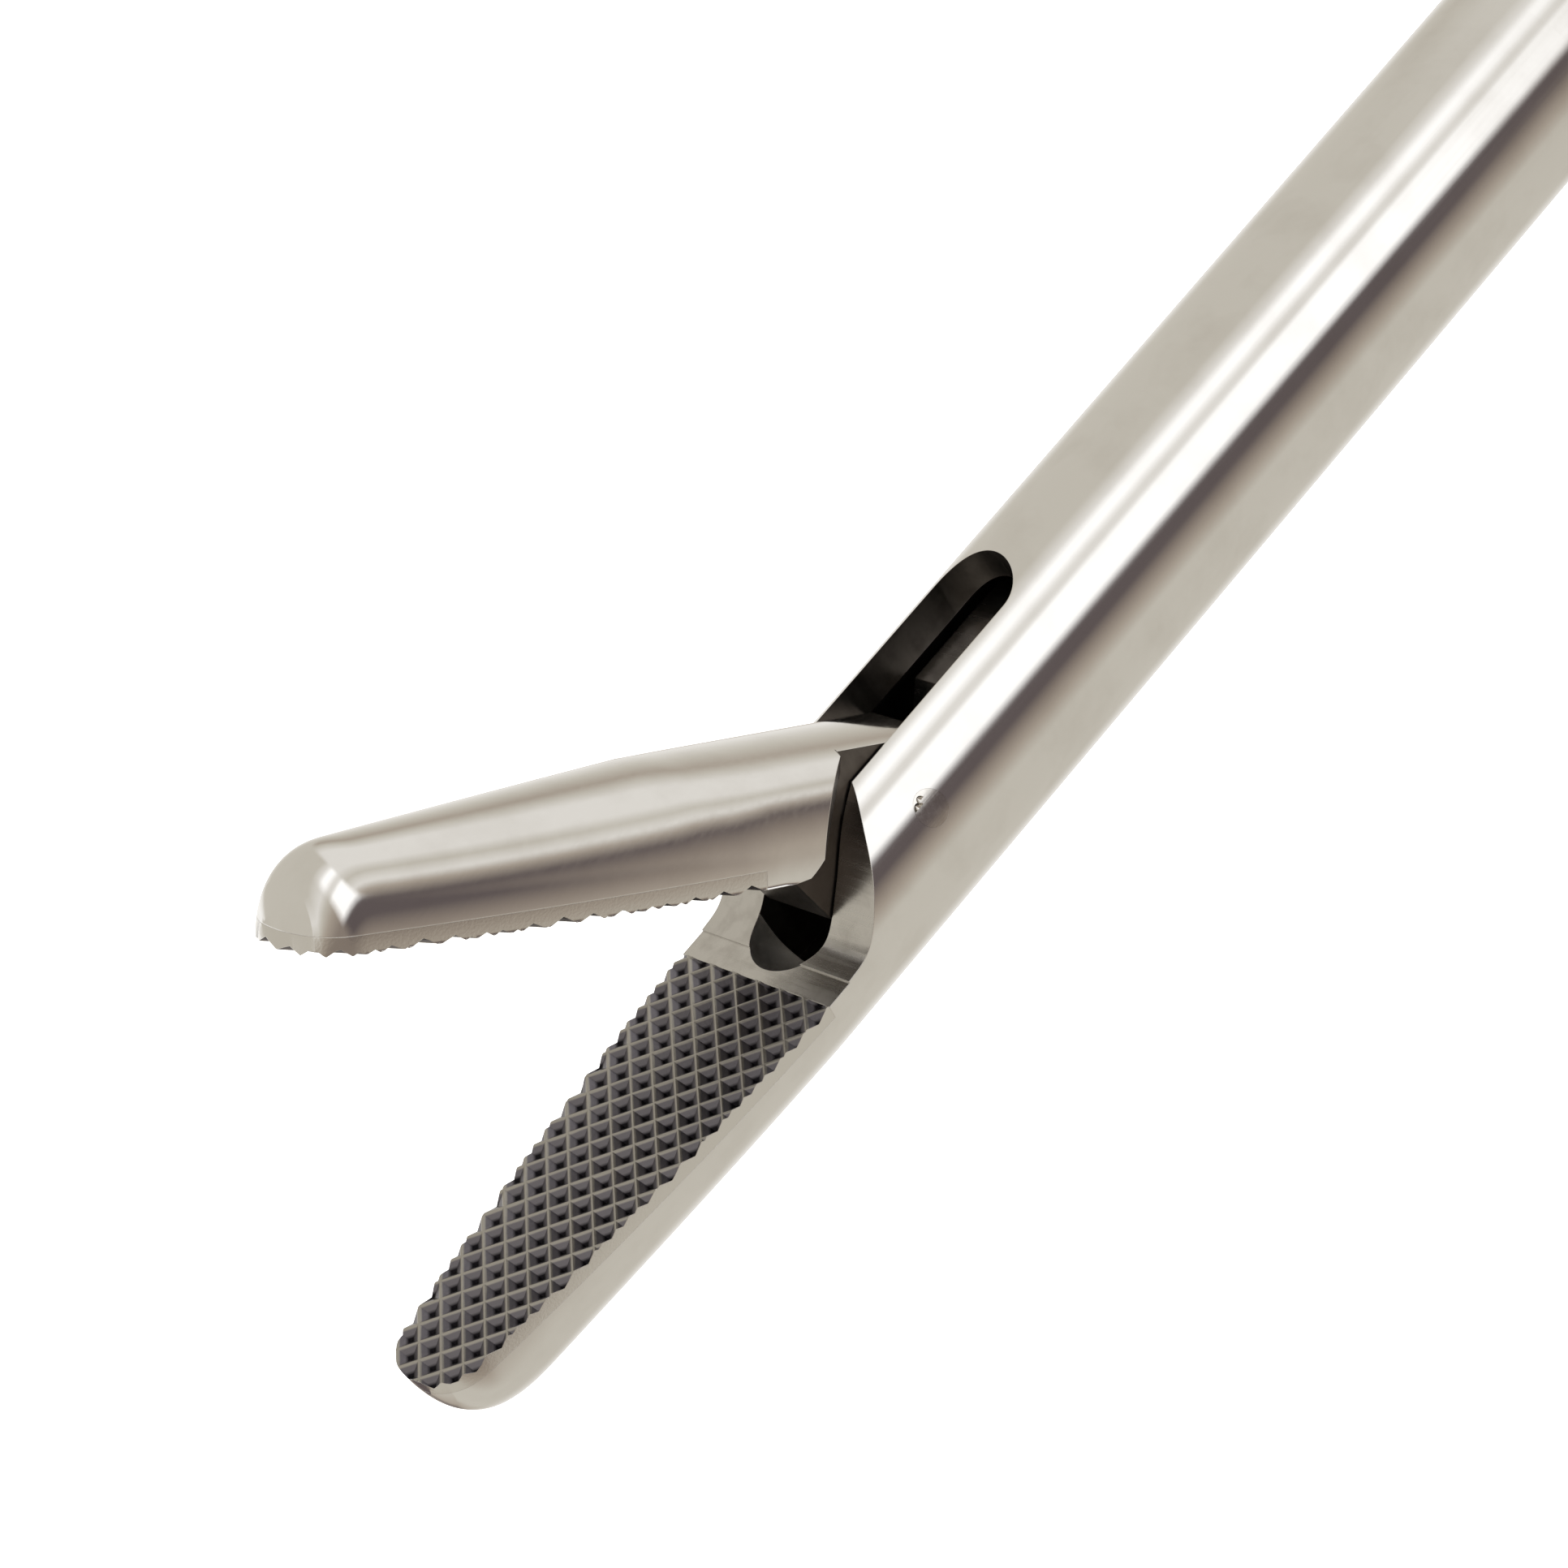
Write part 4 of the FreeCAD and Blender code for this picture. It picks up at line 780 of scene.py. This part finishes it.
# Moving jaw: drawn shut, then opened about its pin as the photograph shows it
movingJaw = {
    "heelGap": 0.45,
    "chamferStart": 0.85,
    "chamferSlope": 1.15,
    "tangHalf": 1.1,
    "tangFoot": (-1.02, -1.46),
    "tangFront": -2.60,
    "tangBack": 2.0,
    "tangRound": 0.9,
    "tailSweep": 2.60,
    "tailHalf": 0.5,
    "hub": 1.12,
    "pivotHole": 0.43,
    "driveHole": 0.62,
    "drivePlace": (0.05, -0.95),
}


def makeMovingJaw():
    spec = movingJaw
    reach, top, far = jawEnd["movingReach"], jawEnd["clear"], jawEnd["pastNose"]
    pivotX, pivotZ = jawEnd["pivotX"], jawEnd["pivotZ"]
    wide = jawSkin("moving_jaw_ground", reach, backAt, 1.0)
    heel = cheekLine(-spec["heelGap"])
    heel = [p for p in heel if p[1] > 0.02] + [(heel[-1][0] + 0.55, 0.0)]
    keep = heel + [(far, 0.0), (far, top), (heel[0][0], top)]
    combine(wide, plateFrom("keep", keep, -top, top), "INTERSECT")
    for side in (1, -1):
        inner, run = spec["tangHalf"] * side, 12.0
        start, outer = -spec["chamferStart"], inner + side * run
        corners = [(start, inner), (start - spec["chamferSlope"] * run, outer), (start, outer)]
        cut(wide, skinOver("wedge", [[(x, y, z) for x, y in corners] for z in (-top, top)]))
    cut(wide,
        blockFrom("insertSeat", far, -jawEnd["taperStart"], -top, top, -1.0, jawEnd["insertThickness"]))
    sweep, r = spec["tailSweep"], spec["tangRound"]
    swept = [math.radians(a) for a in range(0, 19, 3)]
    tail = [(pivotX + sweep * math.sin(a), pivotZ - sweep * math.cos(a)) for a in swept]
    cornerX, cornerZ = spec["tangBack"] - r, jawEnd["shaftRadius"] - r
    turned = [math.radians(a) for a in range(0, 91, 10)]
    corner = [(cornerX + r * math.cos(a), cornerZ + r * math.sin(a)) for a in turned]
    outline = [(spec["tangFront"], 0.0), spec["tangFoot"]] + tail + [(spec["tangBack"], pivotZ - 1.4)]
    outline += corner + [(spec["tangFront"], jawEnd["shaftRadius"])]
    tang = plateFrom("tang", outline, -spec["tangHalf"], spec["tangHalf"])
    combine(tang, rodAlongX("round", jawEnd["shaftRadius"], -4, 3, 192), "INTERSECT")
    hubLow = pivotZ - spec["hub"]
    relief = [(0.2, -top), (0.2, hubLow), (pivotX, hubLow), (pivotX, pivotZ), (top, pivotZ), (top, -top)]
    for y0, y1 in ((spec["tailHalf"], top), (-top, -spec["tailHalf"])):
        side = plateFrom("side", relief, y0, y1)
        cut(side, rodAlongY("hub", spec["hub"], -7, 7, pivotX, pivotZ))
        cut(tang, side)
    combine(wide, tang, "UNION")
    driveX, driveZ = spec["drivePlace"]
    cut(wide, rodAlongY("pivotHole", spec["pivotHole"], -top, top, pivotX, pivotZ),
        rodAlongY("driveHole", spec["driveHole"], -top, top, pivotX + driveX, driveZ))
    shade(wide, jawNormal(reach, backAt))

    # 0 is the buffed skin, 1 the milled tang and the inner faces, with painted shade
    def pick(centre, normal):
        onSkin = centre.z >= 0.02 and math.hypot(centre.y, centre.z) > jawEnd["shaftRadius"] - 0.06
        return 0 if centre.x < spec["tangFront"] - 0.9 or onSkin else 1
    markFaces(wide, pick)
    toFrame(wide, jawEnd["openAngle"])
    return wide


# Pivot pin: pressed in, staked with a small punch and buffed flush with the shaft
pivotPin = {
    "radius": 0.4,
    "stakes": [(-0.20, 0.22, 0.12), (-0.05, 0.30, 0.09)],
}


def makePivotPin():
    spec = pivotPin
    x, z = jawEnd["pivotX"], jawEnd["pivotZ"]
    piece = rodAlongY("jaw_pivot_pin_flush", spec["radius"], -3, 3, x, z, 96)
    combine(piece, rodAlongX("skin", jawEnd["shaftRadius"], -3, 4, 256), "INTERSECT")
    for side in (-1, 1):
        for dx, dz, radius in spec["stakes"]:
            y = side * math.sqrt(jawEnd["shaftRadius"] ** 2 - (z + dz) ** 2)
            rings = [[(x + dx + u, y + side * out, z + dz + v) for u, v in roundPoints(size, 32)]
                     for size, out in ((radius * 1.2, 0.02), (radius, 0.0), (0.01, -radius * 0.8))]
            cut(piece, skinOver("punch", rings))
    shade(piece, None, 20)
    toFrame(piece)
    return piece


# Shaft tube: drawn, its end brazed over the jaw's spigot and ground flush with the neck
shaftTube = {
    "bore": 2.0,
    "seatStart": 314.52,
    "seatEnd": 334.55,
    "seatRadius": 2.3,
    "bevel": 0.1,
}


def makeShaftTube():
    spec = shaftTube
    outer = jawEnd["shaftRadius"]
    start, end = fixedJaw["neckEnd"], spec["seatEnd"]
    seat, bore, bevel = spec["seatRadius"], spec["bore"], spec["bevel"]
    shoulder = spec["seatStart"]
    profile = [(start, bore), (start, outer), (shoulder - bevel, outer), (shoulder, outer - bevel),
               (shoulder, seat), (end - bevel, seat), (end, seat - bevel), (end, bore)]
    piece = turnedAlongX("shaft_tube_drawn", profile)
    shade(piece)
    toFrame(piece)
    return piece


# Gripping inserts: a hard plate of the jaw's own outline, pressed with diamond pits between thin ridges
insertPlate = {
    "thickness": 0.40,
    "pitch": 0.525,
    "angle": 48.0,
    "phase": (8.29, 0.64),
    "ridge": 0.03,
    "depth": 0.17,
}


def makeInsert(name, reach, depthAt, face, side, openBy):
    spec = insertPlate
    back = face - side * spec["thickness"]
    piece = jawSkin(name, reach, depthAt, 2.0)
    far, wide = jawEnd["pastNose"], jawEnd["clear"]
    plate = blockFrom("plate", far, -jawEnd["taperStart"], -wide, wide, min(face, back), max(face, back))
    combine(piece, plate, "INTERSECT")
    angle = math.radians(spec["angle"])
    across = (Vector((-math.sin(angle), math.cos(angle))), Vector((math.sin(angle), math.cos(angle))))
    turn = Matrix((across[0], across[1])).inverted()
    points, faces = [], []
    inner, outer = spec["ridge"] / 2, spec["pitch"] - spec["ridge"] / 2
    for row in range(-26, 27):
        for column in range(-26, 27):
            shift = Vector((row * spec["pitch"], column * spec["pitch"]))
            middle = turn @ (shift + Vector((spec["pitch"], spec["pitch"])) / 2)
            x, y = middle.x - spec["phase"][0], middle.y + spec["phase"][1]
            if not -reach - 0.4 < x < -jawEnd["taperStart"] + 0.4 or abs(y) > 3.0:
                continue
            square = ((inner, inner), (outer, inner), (outer, outer), (inner, outer))
            corners = [turn @ (shift + Vector(c)) for c in square]
            corners = [(c.x - spec["phase"][0], c.y + spec["phase"][1]) for c in corners]
            first = len(points)
            points += [(u, v, face + side * 0.2) for u, v in corners] + [(u, v, face) for u, v in corners]
            points.append((x, y, face - side * spec["depth"]))
            faces.append(tuple(range(first, first + 4)))
            for k in range(4):
                after = (k + 1) % 4
                faces.append((first + k, first + after, first + 4 + after, first + 4 + k))
                faces.append((first + 4 + k, first + 4 + after, first + 8))
    cut(piece, meshFrom("pits", points, faces))
    shade(piece, jawNormal(reach, depthAt))
    toFrame(piece, openBy)
    return piece


lowerInsert = ("lower_insert_knurled", jawEnd["reach"], bellyAt, jawEnd["faceZ"], 1, 0.0)
upperInsert = ("upper_insert_knurled", jawEnd["movingReach"], backAt, 0.0, -1, jawEnd["openAngle"])
jawPieces = {
    "fixed_jaw": makeFixedJaw(),
    "moving_jaw": makeMovingJaw(),
    "jaw_pivot_pin": makePivotPin(),
    "shaft_tube": makeShaftTube(),
    "lower_jaw_insert": makeInsert(*lowerInsert),
    "upper_jaw_insert": makeInsert(*upperInsert),
}
for name, piece in jawPieces.items():
    print(name, len(piece.data.polygons), "faces")


# Springs, in the frame's millimetres
leafSpring = {
    "footStart": 53.0,
    "bendStart": 67.0,
    "footHeight": -12.2,
    "tip": 99.49,
    "tipHeight": 9.9,
    "curl": (104.05, 8.8),
    "sweep": (14.0, 12.0, 2.4),
    "thickness": 0.8,
    "width": 8.0,
    "corner": 1.6,
    "edge": 0.14,
    "bendsFrom": (0.067, 0, -0.0122),  # metres, in the frame
    "bendsTo": (0.099, 0, 0.0099),
}
pawlSpring = {
    "place": (133.38, 0.0),
    "floor": -29.46,
    "height": 3.16,
    "radius": 1.4,
    "wire": 0.25,
    "turns": 3.6,
    "endTurn": 0.8,
    "bendsFrom": (0.13338, 0, -0.02946),  # metres, in the frame
    "bendsTo": (0.13338, 0, -0.0263),
}


def bezierPoint(poles, t):
    while len(poles) > 1:
        poles = [a.lerp(b, t) for a, b in zip(poles, poles[1:])]
    return poles[0]


def makeLeafSpring():
    spec = leafSpring
    x0, x1, x2 = spec["footStart"], spec["bendStart"], spec["tip"]
    z0, z2 = spec["footHeight"], spec["tipHeight"]
    foot = [Vector((x0 + (x1 - x0) * k / 12, z0)) for k in range(12)]
    lower, upper, crown = spec["sweep"]
    rise = [Vector(p) for p in ((x1, z0), (x1 + lower, z0), (x2 - upper, z2), (x2, z2))]
    tip = [Vector(p) for p in ((x2, z2), (x2 + crown, z2), spec["curl"])]
    curved = [bezierPoint(rise, k / 56) for k in range(56)]
    line = foot + curved + [bezierPoint(tip, k / 16) for k in range(17)]
    length = sum((b - a).length for a, b in zip(line, line[1:]))
    rings, run = [], 0.0
    for k, point in enumerate(line):
        run += (point - line[k - 1]).length if k else 0.0
        ahead = (line[min(k + 1, len(line) - 1)] - line[max(k - 1, 0)]).normalized()
        up = Vector((-ahead.y, ahead.x))
        r = spec["corner"]
        inset = max(0.0, r - min(run, length - run))
        half = spec["width"] / 2 - (r - math.sqrt(max(0.0, r * r - inset * inset)))
        thick, soft = spec["thickness"] / 2, spec["edge"]
        edge = [(half, thick - soft), (half - soft * 0.3, thick - soft * 0.3), (half - soft, thick)]
        section = edge + [(-y, z) for y, z in reversed(edge)]
        section += [(-y, -z) for y, z in edge] + [(y, -z) for y, z in reversed(edge)]
        rings.append([(point.x + up.x * z, y, point.y + up.y * z) for y, z in section])
    piece = skinOver("leaf_spring_strip", rings)
    shade(piece, None, 35)
    piece.data.transform(Matrix.Scale(mm, 4))
    return piece


# closed at both ends, like a bought coil
def makePawlSpring():
    spec = pawlSpring
    x, y = spec["place"]
    centres, across = [], []
    steps, turns, still = 220, spec["turns"], spec["endTurn"]
    for k in range(steps + 1):
        turn = turns * k / steps
        rise = min(1.0, max(0.0, (turn - still * 0.8) / (turns - still * 1.6)))
        angle = 2 * math.pi * turn
        out = Vector((math.cos(angle), math.sin(angle), 0.0))
        height = spec["floor"] + spec["wire"] + (spec["height"] - 2 * spec["wire"]) * rise
        centres.append(Vector((x, y, height)) + out * spec["radius"])
        across.append(out)
    piece = wireAlong("pawl_spring_coil", centres, across, spec["wire"])
    shade(piece, None, 50)
    piece.data.transform(Matrix.Scale(mm, 4))
    return piece


springPieces = {"leaf_spring": makeLeafSpring(), "pawl_spring": makePawlSpring()}
print("springs made")

# Which finish each node carries
finishOf = {
    "mirrorBuffedStainless": ["fixed_jaw", "moving_jaw"],
    "drawnStainlessTube": ["shaft_tube"],
    "groundStainlessPin": ["jaw_pivot_pin", "jaw_drive_pin", "lever_drive_pin", "pawl_pivot_pin"],
    "centrelessGroundRod": ["rod_fork", "pull_rod", "rod_end_block", "rod_lock_nut"],
    "turnedStainless": ["nose_nut", "flush_port", "bore_plug"],
    "beadBlastedStainless": ["handle_body", "closing_lever"],
    "turnedScrewSteel": ["lever_hinge_screw", "leaf_spring_screws", "rack_screws"],
    "rolledSpringSteel": ["leaf_spring", "pawl_spring"],
    "hardenedGroundSteel": ["ratchet_rack", "ratchet_pawl"],
    "mouldedBlueSilicone": ["flush_port_cap"],
    "mouldedGreySilicone": ["rod_seal"],
}


def dress(piece, *finishNames):
    for place, finish in enumerate(finishNames):
        if place < len(piece.data.materials):
            piece.data.materials[place] = materials[finish]
        else:
            piece.data.materials.append(materials[finish])


ownPieces = {**jawPieces, **springPieces}
for finish, names in finishOf.items():
    for name in names:
        nodes[name].material_slots[0].link = "OBJECT"
        nodes[name].material_slots[0].material = materials[finish]
        if name in ownPieces:
            dress(ownPieces[name], finish, "milledStainlessPaintedShade", "stonedStainless",
                  "ballMilledStainless")

pivot = Vector((jawEnd["pivotX"], 0, jawEnd["pivotZ"]))
openTurn = Matrix.Rotation(math.radians(jawEnd["openAngle"]), 3, "Y")
upperFace = (openTurn @ (Vector((-8.0, 0, 0)) - pivot) + pivot + Vector((jawEnd["datum"], 0, 0))) * mm
for name, point, normal in (("lower_jaw_insert", Vector((0, 0, jawEnd["faceZ"] * mm)), Vector((0, 0, 1))),
                            ("upper_jaw_insert", upperFace, openTurn @ Vector((0, 0, -1)))):
    hard = makeCarbide(name + "_sinteredCarbide", point, normal)
    nodes[name].material_slots[0].link = "OBJECT"
    nodes[name].material_slots[0].material = hard
    jawPieces[name].data.materials.clear()
    jawPieces[name].data.materials.append(hard)

for name, body, slot in (("fixed_jaw", "handle_and_shaft", "jaw_steel"), ("moving_jaw", "jaw", "jaw_steel"),
                         ("jaw_pivot_pin", "handle_and_shaft", "pin_steel"),
                         ("shaft_tube", "handle_and_shaft", "shaft_steel"),
                         ("lower_jaw_insert", "handle_and_shaft", "insert_carbide"),
                         ("upper_jaw_insert", "jaw", "insert_carbide")):
    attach(jawPieces[name], body)
    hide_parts(name)

for name, body, spec in (("leaf_spring", "lever", leafSpring), ("pawl_spring", "pawl", pawlSpring)):
    piece = springPieces[name]
    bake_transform(piece)
    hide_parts(name)
print("pieces placed")

scene = bpy.context.scene
scene.view_settings.view_transform = "Standard"
